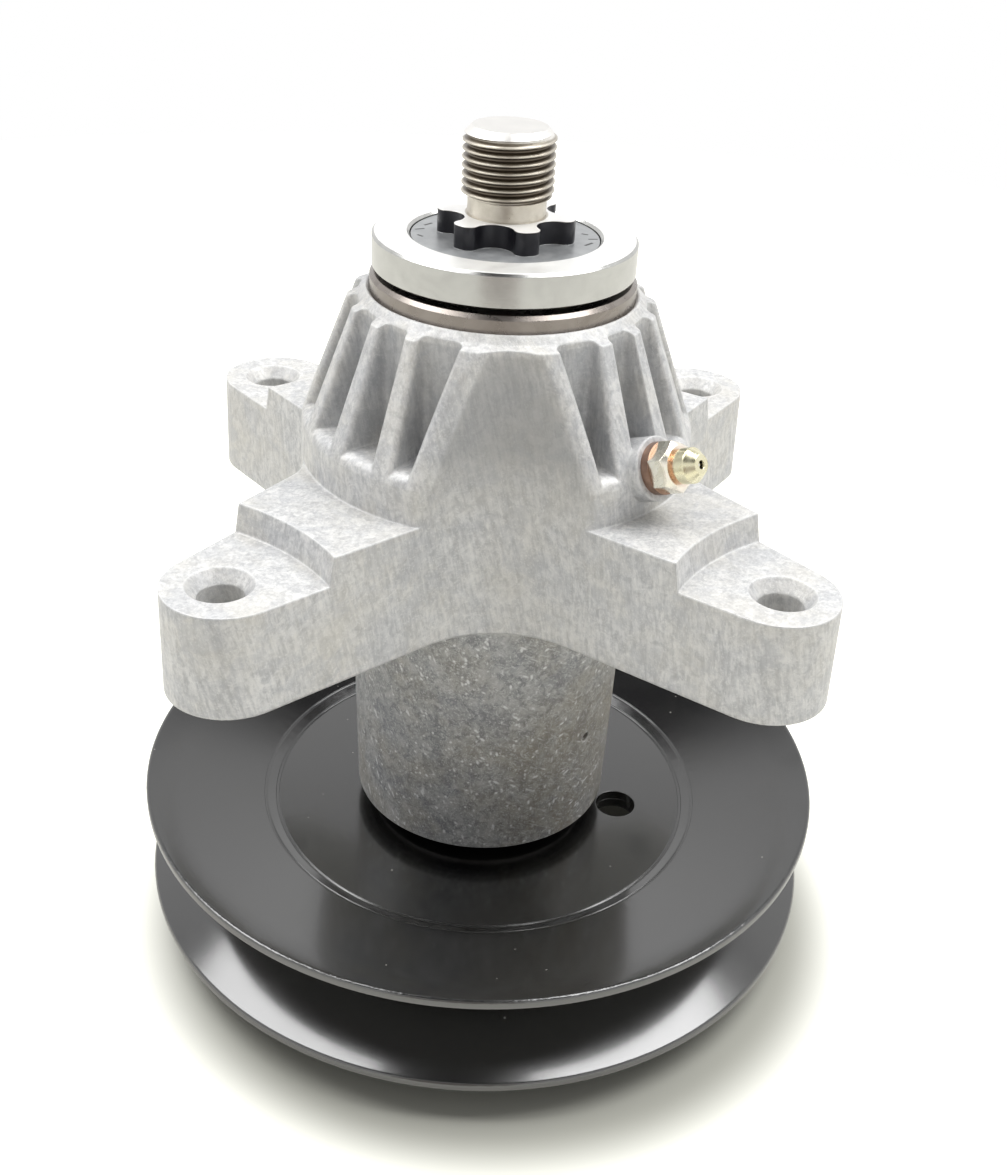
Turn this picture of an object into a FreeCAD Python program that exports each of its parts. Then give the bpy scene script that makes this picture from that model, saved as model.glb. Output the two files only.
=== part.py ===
import FreeCAD, Part
import math
import os
import Sketcher

# Mower deck spindle, shown blade end up, in millimetres. The origin is on the spin axis at the
# plane that the pulley end of the shaft stands on. +Z points to the blade end, and the four
# mounting holes of the housing lie square to X and Y.

# Driving sizes. Lengths in millimetres, angles in degrees.
SIZES = {
    # shaft and the nut at its pulley end
    "thread_radius": 7.94,
    "thread_chamfer": 1.5,
    "shaft_stub": 2.4,
    "nut_length": 13.9,
    "nut_flats": 23.8,
    "nut_flange_radius": 16.5,
    "nut_flange_edge": 1.6,
    "nut_flange_rise": 3.4,
    "nut_chamfer": 2.2,
    "spigot_radius": 9.0,
    "spigot_flats": 16.0,
    "journal_radius": 10.0,
    "shoulder_setback": 0.5,
    "flange_radius": 16.4,
    "flange_thickness": 4.4,
    "star_tip_radius": 12.0,
    "star_valley_radius": 7.7,
    "star_valley_cut": 3.4,
    "star_lobe_fillet": 1.7,
    "star_height": 4.0,
    "star_turn": 46.8,
    "neck_radius": 6.8,
    "neck_height": 2.9,
    "blade_thread_length": 11.7,
    # pulley
    "pulley_rim_radius": 69.85,
    "sheet_thickness": 2.0,
    "sheet_bend_radius": 43.5,
    "sheet_crease": 2.0,
    "sheet_crease_rise": 0.9,
    "upper_rim_height": 10.7,
    "lower_rim_drop": 12.8,
    "hub_flange_radius": 20.0,
    "hub_flange_thickness": 2.5,
    "hub_radius": 12.5,
    "hub_neck": 3.1,
    "drive_hole_radius": 4.2,
    "drive_hole_place": 29.7,
    "drive_hole_turn": -13.2,
    "rim_edge_fillet": 0.6,
    # dust shield between the pulley hub and the bearing
    "shield_rim_radius": 22.6,
    "shield_sheet": 1.0,
    "shield_hub_height": 1.7,
    # ball bearings
    "bearing_outer_radius": 23.5,
    "bearing_width": 14.0,
    "bearing_chamfer": 0.7,
    "inner_land_radius": 14.2,
    "outer_land_radius": 19.3,
    "ball_radius": 3.969,
    "ball_pitch_radius": 16.75,
    "ball_gap": 0.3,
    "cage_inner_radius": 15.8,
    "cage_outer_radius": 17.7,
    "cage_height": 10.0,
    "cage_pocket_gap": 0.2,
    "seal_thickness": 1.0,
    "seal_setback": 0.3,
    "seal_lip_gap": 0.3,
    "bearing_spacing": 81.5,
    "spacer_wall": 3.0,
    # slinger ring at the blade end
    "slinger_radius": 23.1,
    "slinger_bore_radius": 16.6,
    "slinger_foot_radius": 13.6,
    "slinger_foot": 0.8,
    "slinger_web": 1.9,
    "slinger_height": 6.95,
    "slinger_chamfer": 0.5,
    # housing
    "barrel_radius": 26.1,
    "barrel_root_radius": 27.2,
    "barrel_lip": 1.0,
    "barrel_chamfer": 0.8,
    "seat_chamfer": 0.5,
    "shoulder_radius": 19.5,
    "shoulder_width": 3.0,
    "cavity_radius": 21.0,
    "flange_above_barrel": 52.9,
    "ear_thickness": 18.85,
    "pad_thickness": 23.9,
    "bearing_proud": 2.8,
    "hole_half_x": 45.9,
    "hole_half_y": 43.8,
    "hole_radius": 3.95,
    "hole_mouth_radius": 5.75,
    "hole_mouth_angle": 75.0,
    "ear_radius": 11.2,
    "ear_inset_x": 0.9,
    "ear_inset_y": 0.2,
    "web_angle": 38.0,
    "web_hollow_radius": 20.0,
    "side_angle": 54.0,
    "side_hollow_radius": 8.0,
    "skirt_radius": 36.8,
    "casting_draft": 1.5,
    "relief_radius": 45.0,
    "riser_radius": 49.2,
    "riser_draft": 12.0,
    "cone_foot_radius": 35.9,
    "cone_foot_above_pad": 6.6,
    "cone_top_radius": 27.4,
    "cone_top_drop": 2.0,
    "rim_flat": 0.8,
    "tube_radius": 25.5,
    "tube_edge_drop": 1.3,
    "pocket_floor_above_pad": 8.6,
    "pocket_draft": 2.0,
    "rib_step": 18.0,
    "rib_thickness": 2.6,
    "web_pocket_offset": 15.7,
    "web_edge_fillet": 2.4,
    "skirt_edge": 0.7,
    "rib_edge_fillet": 0.8,
    "boss_radius": 5.6,
    "weep_radius": 1.0,
    "weep_height": 22.2,
    "weep_turn": -43.0,
    "weep_slant": -12.0,
    "pocket_rim_fillet": 2.6,
    "pocket_corner_fillet": 1.2,
    # grease fitting, along its own axis
    "fitting_turn": -45.0,
    "fitting_rise": 24.0,
    "fitting_place": 37.0,
    "fitting_height": 32.6,
    "grease_hole_radius": 1.6,
    "fitting_thread_radius": 3.1,
    "fitting_thread_length": 5.0,
    "fitting_washer_radius": 4.55,
    "fitting_washer_thickness": 1.5,
    "fitting_flats": 8.0,
    "fitting_hex_turn": 15.0,
    "fitting_hex_height": 3.4,
    "fitting_neck_radius": 2.2,
    "fitting_neck_height": 0.8,
    "fitting_head_radius": 3.05,
    "fitting_head_height": 2.0,
    "fitting_cone_height": 1.6,
    "fitting_tip_radius": 1.7,
    "fitting_thread_gap": 0.05,
    "check_ball_radius": 0.9,
    "check_bore_radius": 1.2,
    "check_mouth_radius": 0.75,
    "check_mouth_length": 0.4,
    "check_seat_gap": 0.3,
    "spring_wire_radius": 0.15,
    "spring_coil_radius": 0.8,
    "spring_pitch": 1.0,
    "spring_length": 4.0,
    "spring_stop_radius": 0.7,
    "spring_stop_gap": 0.05,
    # fits
    "press_gap": 0.02,
    "slide_gap": 0.03,
    "spacer_gap": 0.2,
}

BALL_COUNT = 8
STAR_LOBES = 6
POCKETS_IN_QUARTER = 3
POCKET_OVERRUN = 4
POCKET_RIM_PROUD = 0.08
SHEET_NAME = "sizes"


class Size:
    """A length or angle that knows its value and the sheet expression that gives it."""

    def __init__(self, value, text):
        self.value = float(value)
        self.text = text

    def __add__(self, other):
        other = as_size(other)
        return Size(self.value + other.value, f"({self.text} + {other.text})")

    def __sub__(self, other):
        other = as_size(other)
        return Size(self.value - other.value, f"({self.text} - {other.text})")

    def __mul__(self, other):
        other = as_size(other)
        return Size(self.value * other.value, f"({self.text} * {other.text})")

    def __truediv__(self, other):
        other = as_size(other)
        return Size(self.value / other.value, f"({self.text} / {other.text})")

    def __neg__(self):
        return Size(-self.value, f"(0 - {self.text})")


def as_size(number):
    """A plain number as a Size."""
    if isinstance(number, Size):
        return number
    return Size(number, f"({number})" if number < 0 else f"{number}")


def sine(angle):
    angle = as_size(angle)
    return Size(math.sin(math.radians(angle.value)), f"sin({angle.text} * 1 deg)")


def cosine(angle):
    angle = as_size(angle)
    return Size(math.cos(math.radians(angle.value)), f"cos({angle.text} * 1 deg)")


def tangent(angle):
    return sine(angle) / cosine(angle)


def arc_sine(ratio):
    return Size(math.degrees(math.asin(ratio.value)), f"(asin({ratio.text}) / 1 deg)")


def root(square):
    return Size(math.sqrt(square.value), f"sqrt({square.text})")


def polar(radius, angle):
    """The point at a radius and an angle from X."""
    return (as_size(radius) * cosine(angle), as_size(radius) * sine(angle))


def shifted(point, distance, angle):
    """A point moved by a distance along an angle."""
    step = polar(distance, angle)
    return (point[0] + step[0], point[1] + step[1])


def flat(point):
    """A point of two Sizes as a vector in its sketch plane."""
    return FreeCAD.Vector(as_size(point[0]).value, as_size(point[1]).value, 0)


doc = FreeCAD.newDocument("mower_deck_spindle")
sheet = doc.addObject("Spreadsheet::Sheet", SHEET_NAME)
for row, (alias, number) in enumerate(SIZES.items(), start=1):
    sheet.set(f"A{row}", alias)
    sheet.set(f"B{row}", str(number))
    sheet.setAlias(f"B{row}", alias)
doc.recompute()


class Dimensions:
    """The driving sizes by name, each bound to its cell."""

    def __getattr__(self, alias):
        return Size(SIZES[alias], f"{SHEET_NAME}.{alias}")


dim = Dimensions()

# Heights of the stack along the shaft, from the floor up
NUT_BOTTOM = dim.shaft_stub
NUT_TOP = NUT_BOTTOM + dim.nut_length
LOWER_SHEET = NUT_TOP + dim.hub_flange_thickness
SHEET_JOINT = LOWER_SHEET + dim.sheet_thickness
DISC_TOP = SHEET_JOINT + dim.sheet_thickness
HUB_TOP = DISC_TOP + dim.hub_neck
PULLEY_BEARING_LOW = HUB_TOP + dim.shield_hub_height
PULLEY_BEARING_TOP = PULLEY_BEARING_LOW + dim.bearing_width
BLADE_BEARING_LOW = PULLEY_BEARING_TOP + dim.bearing_spacing
BLADE_BEARING_TOP = BLADE_BEARING_LOW + dim.bearing_width
FLANGE_LOW = BLADE_BEARING_TOP + dim.slinger_web
STAR_LOW = FLANGE_LOW + dim.flange_thickness
STAR_TOP = STAR_LOW + dim.star_height
NECK_TOP = STAR_TOP + dim.neck_height
SHAFT_TOP = NECK_TOP + dim.blade_thread_length

# Heights of the housing
BARREL_END = PULLEY_BEARING_LOW - dim.barrel_lip
MOUNT_FACE = BARREL_END + dim.flange_above_barrel
EAR_FACE = MOUNT_FACE + dim.ear_thickness
PAD_FACE = MOUNT_FACE + dim.pad_thickness
HOUSING_TOP = BLADE_BEARING_TOP - dim.bearing_proud
SEAT_RADIUS = dim.bearing_outer_radius + dim.press_gap


def plane_of(body, role):
    """A body's own origin plane or axis."""
    for feature in body.Origin.OriginFeatures:
        if feature.Role == role:
            return feature
    raise ValueError(role)


def new_body(name):
    body = doc.addObject("PartDesign::Body", name)
    body.Label = name
    return body


def new_sketch(body, name, role, height=None):
    """A sketch on one of the body's origin planes, lifted to a height along the plane's normal."""
    sketch = body.newObject("Sketcher::SketchObject", name)
    sketch.AttachmentSupport = [(plane_of(body, role), "")]
    sketch.MapMode = "FlatFace"
    if height is not None:
        sketch.setExpression("AttachmentOffset.Base.z", as_size(height).text)
    return sketch


def tie(sketch, constraint, size):
    """Adds a dimension to a sketch and binds it to its expression."""
    index = sketch.addConstraint(constraint)
    if SHEET_NAME in size.text:
        sketch.setExpression(f"Constraints[{index}]", size.text)


def pin(sketch, curve, end, point):
    """Holds one point of a curve at its place in the sketch."""
    across, up = as_size(point[0]), as_size(point[1])
    tie(sketch, Sketcher.Constraint("DistanceX", curve, end, across.value), across)
    tie(sketch, Sketcher.Constraint("DistanceY", curve, end, up.value), up)


def outline(sketch, corners, arcs=None):
    """A closed outline through corners; arcs maps an edge's number to its radius and centre."""
    arcs = arcs or {}
    first = sketch.GeometryCount
    last = len(corners)
    for number, corner in enumerate(corners):
        start = flat(corner)
        end = flat(corners[(number + 1) % last])
        if number in arcs:
            radius, centre = arcs[number]
            middle = flat(centre)
            outward = ((start + end) * 0.5 - middle).normalize()
            sketch.addGeometry(Part.Arc(start, middle + outward * radius.value, end))
        else:
            sketch.addGeometry(Part.LineSegment(start, end))
    ends = []
    for number in range(last):
        start = flat(corners[number])
        kept = sketch.getPoint(first + number, 1)
        turned_round = (kept - start).Length > 1e-6
        ends.append((2, 1) if turned_round else (1, 2))
    for number in range(last):
        following = (number + 1) % last
        sketch.addConstraint(
            Sketcher.Constraint(
                "Coincident", first + number, ends[number][1], first + following, ends[following][0]
            )
        )
        pin(sketch, first + number, ends[number][0], corners[number])
        if number in arcs:
            radius = arcs[number][0]
            tie(sketch, Sketcher.Constraint("Radius", first + number, radius.value), radius)


def circle(sketch, centre, radius):
    """A circle held at its centre."""
    curve = sketch.addGeometry(Part.Circle(flat(centre), FreeCAD.Vector(0, 0, 1), radius.value))
    pin(sketch, curve, 3, centre)
    tie(sketch, Sketcher.Constraint("Radius", curve, radius.value), radius)


def turn(body, name, kind, sketch):
    """A Revolution or Groove of a sketch about the spin axis."""
    feature = body.newObject(f"PartDesign::{kind}", name)
    feature.Profile = sketch
    feature.ReferenceAxis = (sketch, ["V_Axis"])
    feature.Angle = 360
    return feature


def raise_or_cut(body, name, kind, sketch, length, upward=True, taper=None):
    """A Pad or Pocket of a sketch, upward or downward along the sketch's normal."""
    feature = body.newObject(f"PartDesign::{kind}", name)
    feature.Profile = sketch
    feature.setExpression("Length", as_size(length).text)
    along_normal = kind == "Pad"
    feature.Reversed = upward != along_normal
    if taper is not None:
        feature.setExpression("TaperAngle", taper.text)
    return feature


def repeated(body, name, feature, count, angle=360.0):
    """A feature repeated about the spin axis."""
    pattern = body.newObject("PartDesign::PolarPattern", name)
    pattern.Originals = [feature]
    pattern.Axis = (plane_of(body, "Z_Axis"), [""])
    pattern.Angle = angle
    pattern.Occurrences = count
    body.Tip = pattern
    return pattern


def turned(name, corners, arcs=None):
    """A body turned from one outline of radius and height."""
    body = new_body(name)
    profile = new_sketch(body, f"{name}_profile", "XZ_Plane")
    outline(profile, corners, arcs)
    turn(body, f"{name}_turning", "Revolution", profile)
    return body


def washer_outline(inner, outer, low, high, chamfer):
    """A ring's section with its four corners chamfered."""
    return [
        (inner + chamfer, low),
        (outer - chamfer, low),
        (outer, low + chamfer),
        (outer, high - chamfer),
        (outer - chamfer, high),
        (inner + chamfer, high),
        (inner, high - chamfer),
        (inner, low + chamfer),
    ]


def hexagon(flats, turn_angle=0.0):
    """The corners of a hexagon over its flats."""
    corner = as_size(flats) / (cosine(30) * 2)
    return [polar(corner, turn_angle + 60 * number) for number in range(6)]


def edges_where(shape, test):
    """The names of the edges that a test picks."""
    return [f"Edge{number}" for number, edge in enumerate(shape.Edges, start=1) if test(edge)]


def dress(body, kind, name, radius, test):
    """A Fillet or Chamfer on the edges that a test picks."""
    doc.recompute()
    base = body.Tip
    names = edges_where(base.Shape, test)
    feature = body.newObject(f"PartDesign::{kind}", name)
    feature.Base = (base, names)
    feature.setExpression("Radius" if kind == "Fillet" else "Size", as_size(radius).text)
    return feature


def is_ring(edge, radius, height, slack=0.02):
    """True for a circular edge about the spin axis at a radius and height."""
    curve = edge.Curve
    if not isinstance(curve, Part.Circle):
        return False
    centre = curve.Center
    on_axis = math.hypot(centre.x, centre.y) < slack
    at_place = abs(curve.Radius - radius) < slack and abs(centre.z - height) < slack
    return on_axis and at_place


def build_shaft():
    """The forged shaft with its flange, drive star and both threads."""
    body = turned(
        "spindle_shaft",
        [
            (0, 0),
            (dim.thread_radius - dim.thread_chamfer, 0),
            (dim.thread_radius, dim.thread_chamfer),
            (dim.thread_radius, NUT_TOP + dim.shoulder_setback),
            (dim.spigot_radius, NUT_TOP + dim.shoulder_setback),
            (dim.spigot_radius, PULLEY_BEARING_LOW + dim.shoulder_setback),
            (dim.journal_radius - dim.press_gap, PULLEY_BEARING_LOW + dim.shoulder_setback * 2),
            (dim.journal_radius - dim.press_gap, FLANGE_LOW),
            (dim.flange_radius, FLANGE_LOW),
            (dim.flange_radius, STAR_LOW),
            (dim.neck_radius, STAR_LOW),
            (dim.neck_radius, NECK_TOP),
            (dim.thread_radius, NECK_TOP + dim.shoulder_setback),
            (dim.thread_radius, SHAFT_TOP - dim.thread_chamfer),
            (dim.thread_radius - dim.thread_chamfer, SHAFT_TOP),
            (0, SHAFT_TOP),
        ],
    )
    disc = new_sketch(body, "star_disc", "XY_Plane", STAR_LOW)
    circle(disc, (0, 0), dim.star_tip_radius)
    raise_or_cut(body, "star_blank", "Pad", disc, dim.star_height)
    valley = new_sketch(body, "star_valley", "XY_Plane", STAR_TOP)
    place = polar(dim.star_valley_radius + dim.star_valley_cut, dim.star_turn + 30)
    circle(valley, place, dim.star_valley_cut)
    cut = raise_or_cut(body, "star_valley_cut", "Pocket", valley, dim.star_height, upward=False)
    repeated(body, "star_valleys", cut, STAR_LOBES)
    tip, low, top = dim.star_tip_radius.value, STAR_LOW.value, STAR_TOP.value

    def lobe_corner(edge):
        ends = [vertex.Point for vertex in edge.Vertexes]
        if len(ends) != 2 or abs(abs(ends[0].z - ends[1].z) - (top - low)) > 0.01:
            return False
        return all(abs(math.hypot(end.x, end.y) - tip) < 0.02 for end in ends)

    dress(body, "Fillet", "star_lobe_rounds", dim.star_lobe_fillet, lobe_corner)
    flats = new_sketch(body, "spigot_flats", "XY_Plane", NUT_TOP + dim.shoulder_setback)
    half, wide = dim.spigot_flats / 2, dim.journal_radius
    for side in (1, -1):
        near, far = half * side, wide * side
        outline(flats, [(-wide, near), (wide, near), (wide, far), (-wide, far)])
    raise_or_cut(
        body, "spigot_flat_cuts", "Pocket", flats, PULLEY_BEARING_LOW - NUT_TOP - dim.shoulder_setback
    )
    return body


def double_d(sketch, gap):
    """The bore outline that fits the two flats of the shaft's spigot."""
    radius = dim.spigot_radius + gap
    half = dim.spigot_flats / 2 + gap
    reach = root(radius * radius - half * half)
    outline(
        sketch,
        [(reach, -half), (reach, half), (-reach, half), (-reach, -half)],
        {0: (radius, (0, 0)), 2: (radius, (0, 0))},
    )


def bored_for_spigot(body, top, depth):
    """Cuts the two-flat bore down through a turned body."""
    bore = new_sketch(body, f"{body.Name}_bore", "XY_Plane", top)
    double_d(bore, dim.slide_gap)
    raise_or_cut(body, f"{body.Name}_bore_cut", "Pocket", bore, depth, upward=False)
    return body


def build_hub():
    """The pulley's hub: a flange under the sheets and a neck up through them."""
    body = turned(
        "pulley_hub",
        [
            (0, NUT_TOP),
            (dim.hub_flange_radius - dim.bearing_chamfer, NUT_TOP),
            (dim.hub_flange_radius, NUT_TOP + dim.bearing_chamfer),
            (dim.hub_flange_radius, LOWER_SHEET),
            (dim.hub_radius, LOWER_SHEET),
            (dim.hub_radius, HUB_TOP - dim.bearing_chamfer),
            (dim.hub_radius - dim.bearing_chamfer, HUB_TOP),
            (0, HUB_TOP),
        ],
    )
    return bored_for_spigot(body, HUB_TOP, HUB_TOP - NUT_TOP)


def build_shield():
    """The dust shield that turns under the open end of the barrel."""
    contact = dim.inner_land_radius - dim.bearing_chamfer
    skirt_top = BARREL_END - dim.shield_hub_height + dim.shield_sheet
    body = turned(
        "dust_shield",
        [
            (0, HUB_TOP),
            (contact, HUB_TOP),
            (contact + dim.shield_sheet, skirt_top - dim.shield_sheet),
            (dim.shield_rim_radius, skirt_top - dim.shield_sheet),
            (dim.shield_rim_radius, skirt_top),
            (contact + dim.shield_sheet, skirt_top),
            (contact, PULLEY_BEARING_LOW),
            (0, PULLEY_BEARING_LOW),
        ],
    )
    return bored_for_spigot(body, PULLEY_BEARING_LOW, PULLEY_BEARING_LOW - HUB_TOP)


def build_pulley_half(name, side):
    """One pressed sheet of the V pulley, above (side 1) or below (side -1) their joint."""
    thick = dim.sheet_thickness
    rise = dim.upper_rim_height if side > 0 else dim.lower_rim_drop
    crease_end = dim.sheet_bend_radius + dim.sheet_crease
    run = dim.pulley_rim_radius - crease_end
    slope = (rise - thick - dim.sheet_crease_rise) / run
    slant = thick * root(slope * slope + 1)
    foot = dim.pulley_rim_radius - (rise - slant) / slope
    bore = dim.hub_radius + dim.slide_gap

    def at(radius, height):
        return (radius, SHEET_JOINT + height * side)

    body = turned(
        name,
        [
            at(bore, as_size(0)),
            at(foot, as_size(0)),
            at(dim.pulley_rim_radius, rise - slant),
            at(dim.pulley_rim_radius, rise),
            at(crease_end, thick + dim.sheet_crease_rise),
            at(dim.sheet_bend_radius, thick),
            at(bore, thick),
        ],
    )
    rim, joint = dim.pulley_rim_radius.value, SHEET_JOINT.value
    heights = [joint + (rise - slant).value * side, joint + rise.value * side]
    dress(
        body,
        "Fillet",
        f"{name}_rim_rounds",
        dim.rim_edge_fillet,
        lambda edge: any(is_ring(edge, rim, height) for height in heights),
    )
    hole = new_sketch(body, f"{name}_hole", "XY_Plane", SHEET_JOINT)
    circle(hole, polar(dim.drive_hole_place, dim.drive_hole_turn), dim.drive_hole_radius)
    raise_or_cut(body, f"{name}_hole_cut", "Pocket", hole, thick, upward=side > 0)
    return body


def build_nut():
    """The hexagon flange nut that clamps the pulley."""
    body = new_body("flange_nut")
    hexagon_sketch = new_sketch(body, "nut_hexagon", "XY_Plane", NUT_BOTTOM)
    outline(hexagon_sketch, hexagon(dim.nut_flats, 15.0))
    raise_or_cut(body, "nut_body", "Pad", hexagon_sketch, dim.nut_length)
    corner = dim.nut_flats / (cosine(30) * 2)
    crown = new_sketch(body, "nut_crown", "XZ_Plane")
    outline(
        crown,
        [
            (corner - dim.nut_chamfer, NUT_BOTTOM),
            (corner + 1, NUT_BOTTOM + (dim.nut_chamfer + 1) * tangent(30)),
            (corner + 1, NUT_BOTTOM - 1),
            (corner - dim.nut_chamfer, NUT_BOTTOM - 1),
        ],
    )
    turn(body, "nut_crown_cut", "Groove", crown)
    flange = new_sketch(body, "nut_flange", "XZ_Plane")
    outline(
        flange,
        [
            (0, NUT_TOP - dim.nut_flange_rise),
            (dim.nut_flats / 2, NUT_TOP - dim.nut_flange_rise),
            (dim.nut_flange_radius, NUT_TOP - dim.nut_flange_edge),
            (dim.nut_flange_radius, NUT_TOP),
            (0, NUT_TOP),
        ],
    )
    turn(body, "nut_flange_turning", "Revolution", flange)
    bore = new_sketch(body, "nut_bore", "XY_Plane", NUT_TOP)
    circle(bore, (0, 0), dim.thread_radius + dim.slide_gap)
    raise_or_cut(body, "nut_bore_cut", "Pocket", bore, dim.nut_length, upward=False)
    return body


def build_slinger():
    """The turned ring over the blade-end bearing, clamped under the shaft's flange."""
    low = BLADE_BEARING_TOP + dim.slinger_foot
    top = BLADE_BEARING_TOP + dim.slinger_height
    edge = dim.slinger_chamfer
    return turned(
        "slinger_ring",
        [
            (dim.journal_radius + dim.slide_gap, BLADE_BEARING_TOP),
            (dim.slinger_foot_radius, BLADE_BEARING_TOP),
            (dim.slinger_foot_radius, low),
            (dim.slinger_radius - edge, low),
            (dim.slinger_radius, low + edge),
            (dim.slinger_radius, top - edge),
            (dim.slinger_radius - edge, top),
            (dim.slinger_bore_radius + edge, top),
            (dim.slinger_bore_radius, top - edge),
            (dim.slinger_bore_radius, FLANGE_LOW),
            (dim.journal_radius + dim.slide_gap, FLANGE_LOW),
        ],
    )


def build_spacer():
    """The tube that holds the two inner rings apart."""
    inner = dim.journal_radius + dim.spacer_gap
    return turned(
        "bearing_spacer",
        washer_outline(
            inner, inner + dim.spacer_wall, PULLEY_BEARING_TOP, BLADE_BEARING_LOW, dim.slinger_chamfer
        ),
    )


def build_ring(name, inner, outer, low):
    """A bearing ring with its ball track."""
    body = turned(name, washer_outline(inner, outer, low, low + dim.bearing_width, dim.bearing_chamfer))
    track = new_sketch(body, f"{name}_track", "XZ_Plane")
    circle(track, (dim.ball_pitch_radius, low + dim.bearing_width / 2), dim.ball_radius + dim.ball_gap)
    turn(body, f"{name}_track_cut", "Groove", track)
    return body


def build_seal(name, low):
    """A bearing's seal, held in the outer ring."""
    inner = dim.inner_land_radius + dim.seal_lip_gap
    outer = dim.outer_land_radius - dim.press_gap
    return turned(
        name,
        [(inner, low), (outer, low), (outer, low + dim.seal_thickness), (inner, low + dim.seal_thickness)],
    )


def ball_places(middle):
    """The centres of a bearing's balls."""
    places = []
    for number in range(BALL_COUNT):
        across, along = polar(dim.ball_pitch_radius, 360.0 * number / BALL_COUNT)
        places.append((across, along, middle))
    return places


def sphere_at(name, place, radius):
    ball = doc.addObject("Part::Sphere", name)
    ball.setExpression("Radius", radius.text)
    for axis, size in zip("xyz", place):
        ball.setExpression(f"Placement.Base.{axis}", size.text)
    return ball


def cage_space(name, middle, number):
    """The round pocket for one ball, drilled outward through the cage."""
    space = doc.addObject("Part::Cylinder", name)
    space.setExpression("Radius", (dim.ball_radius + dim.cage_pocket_gap).text)
    space.setExpression("Height", (dim.cage_outer_radius - dim.cage_inner_radius + 2).text)
    turn_angle = as_size(360.0 * number / BALL_COUNT)
    set_on_axis(space, "Placement", dim.cage_inner_radius - 1, middle, turn_angle, as_size(0))
    return space


def tube_between(name, inner, outer, low, height):
    """A plain tube about the spin axis."""
    parts = []
    for suffix, radius in (("outside", outer), ("inside", inner)):
        cylinder = doc.addObject("Part::Cylinder", f"{name}_{suffix}")
        cylinder.setExpression("Radius", radius.text)
        cylinder.setExpression("Height", height.text)
        cylinder.setExpression("Placement.Base.z", low.text)
        parts.append(cylinder)
    tube = doc.addObject("Part::Cut", f"{name}_tube")
    tube.Base, tube.Tool = parts
    return tube


def build_balls_and_cage(prefix, low):
    """A bearing's set of balls, and the cage that spaces them."""
    middle = low + dim.bearing_width / 2
    balls = doc.addObject("Part::Compound", f"{prefix}_balls")
    balls.Label = f"{prefix}_balls"
    balls.Links = [
        sphere_at(f"{prefix}_ball_{number}", place, dim.ball_radius)
        for number, place in enumerate(ball_places(middle), start=1)
    ]
    spaces = doc.addObject("Part::Compound", f"{prefix}_cage_spaces")
    spaces.Links = [
        cage_space(f"{prefix}_cage_space_{number + 1}", middle, number) for number in range(BALL_COUNT)
    ]
    tube = tube_between(
        f"{prefix}_cage",
        dim.cage_inner_radius,
        dim.cage_outer_radius,
        middle - dim.cage_height / 2,
        dim.cage_height,
    )
    cage = doc.addObject("Part::Cut", f"{prefix}_cage")
    cage.Label = f"{prefix}_cage"
    cage.Base = tube
    cage.Tool = spaces
    return [balls, cage]


def build_bearing(prefix, low):
    """A sealed ball bearing: two rings, balls, cage and two seals."""
    top = low + dim.bearing_width
    return [
        build_ring(f"{prefix}_outer_ring", dim.outer_land_radius, dim.bearing_outer_radius, low),
        build_ring(f"{prefix}_inner_ring", dim.journal_radius, dim.inner_land_radius, low),
        build_seal(f"{prefix}_lower_seal", low + dim.seal_setback),
        build_seal(f"{prefix}_upper_seal", top - dim.seal_setback - dim.seal_thickness),
    ] + build_balls_and_cage(prefix, low)


def housing_plan():
    """The plan of the casting at its mounting face: four arms, hollow sides and the round skirt."""
    web, side = dim.web_angle, dim.side_angle
    ear = (dim.hole_half_x - dim.ear_inset_x, dim.hole_half_y - dim.ear_inset_y)
    ear_front = shifted(ear, dim.ear_radius, web + 90)
    ear_side = shifted(ear, dim.ear_radius, side - 90)
    hollow_middle = ear_front[1] + (dim.web_hollow_radius - ear_front[0] * sine(web)) / cosine(web)
    hollow = (as_size(0), hollow_middle)
    hollow_end = shifted(hollow, dim.web_hollow_radius, web - 90)
    reach = ear_side[0] * sine(side) - ear_side[1] * cosine(side) + dim.side_hollow_radius
    skirt_end_angle = side - arc_sine(reach / (dim.skirt_radius + dim.side_hollow_radius))
    notch = polar(dim.skirt_radius + dim.side_hollow_radius, skirt_end_angle)
    skirt_end = polar(dim.skirt_radius, skirt_end_angle)
    notch_end = shifted(notch, dim.side_hollow_radius, side + 90)
    quarter = [skirt_end, notch_end, ear_side, ear_front, hollow_end]
    centres = {0: notch, 2: ear, 4: hollow}
    radii = {0: dim.side_hollow_radius, 2: dim.ear_radius, 4: dim.web_hollow_radius}
    return quarter, centres, radii


def mirrored(point, across, up):
    return (point[0] * across, point[1] * up)


def draw_housing_plan(sketch):
    """Draws the quarter four times, forwards and backwards, into one outline."""
    quarter, centres, radii = housing_plan()
    corners, arcs = [], {}
    for across, up, forwards in ((1, 1, True), (-1, 1, False), (-1, -1, True), (1, -1, False)):
        order = range(len(quarter)) if forwards else range(len(quarter) - 1, -1, -1)
        for step in order:
            number = len(corners)
            corners.append(mirrored(quarter[step], across, up))
            edge = step if forwards else step - 1
            if edge in centres and edge != 4:
                arcs[number] = (radii[edge], mirrored(centres[edge], across, up))
            elif forwards and edge == 4:
                arcs[number] = (radii[4], mirrored(centres[4], across, up))
            elif not forwards and step == 0:
                arcs[number] = (dim.skirt_radius, (as_size(0), as_size(0)))
    outline(sketch, corners, arcs)


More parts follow.
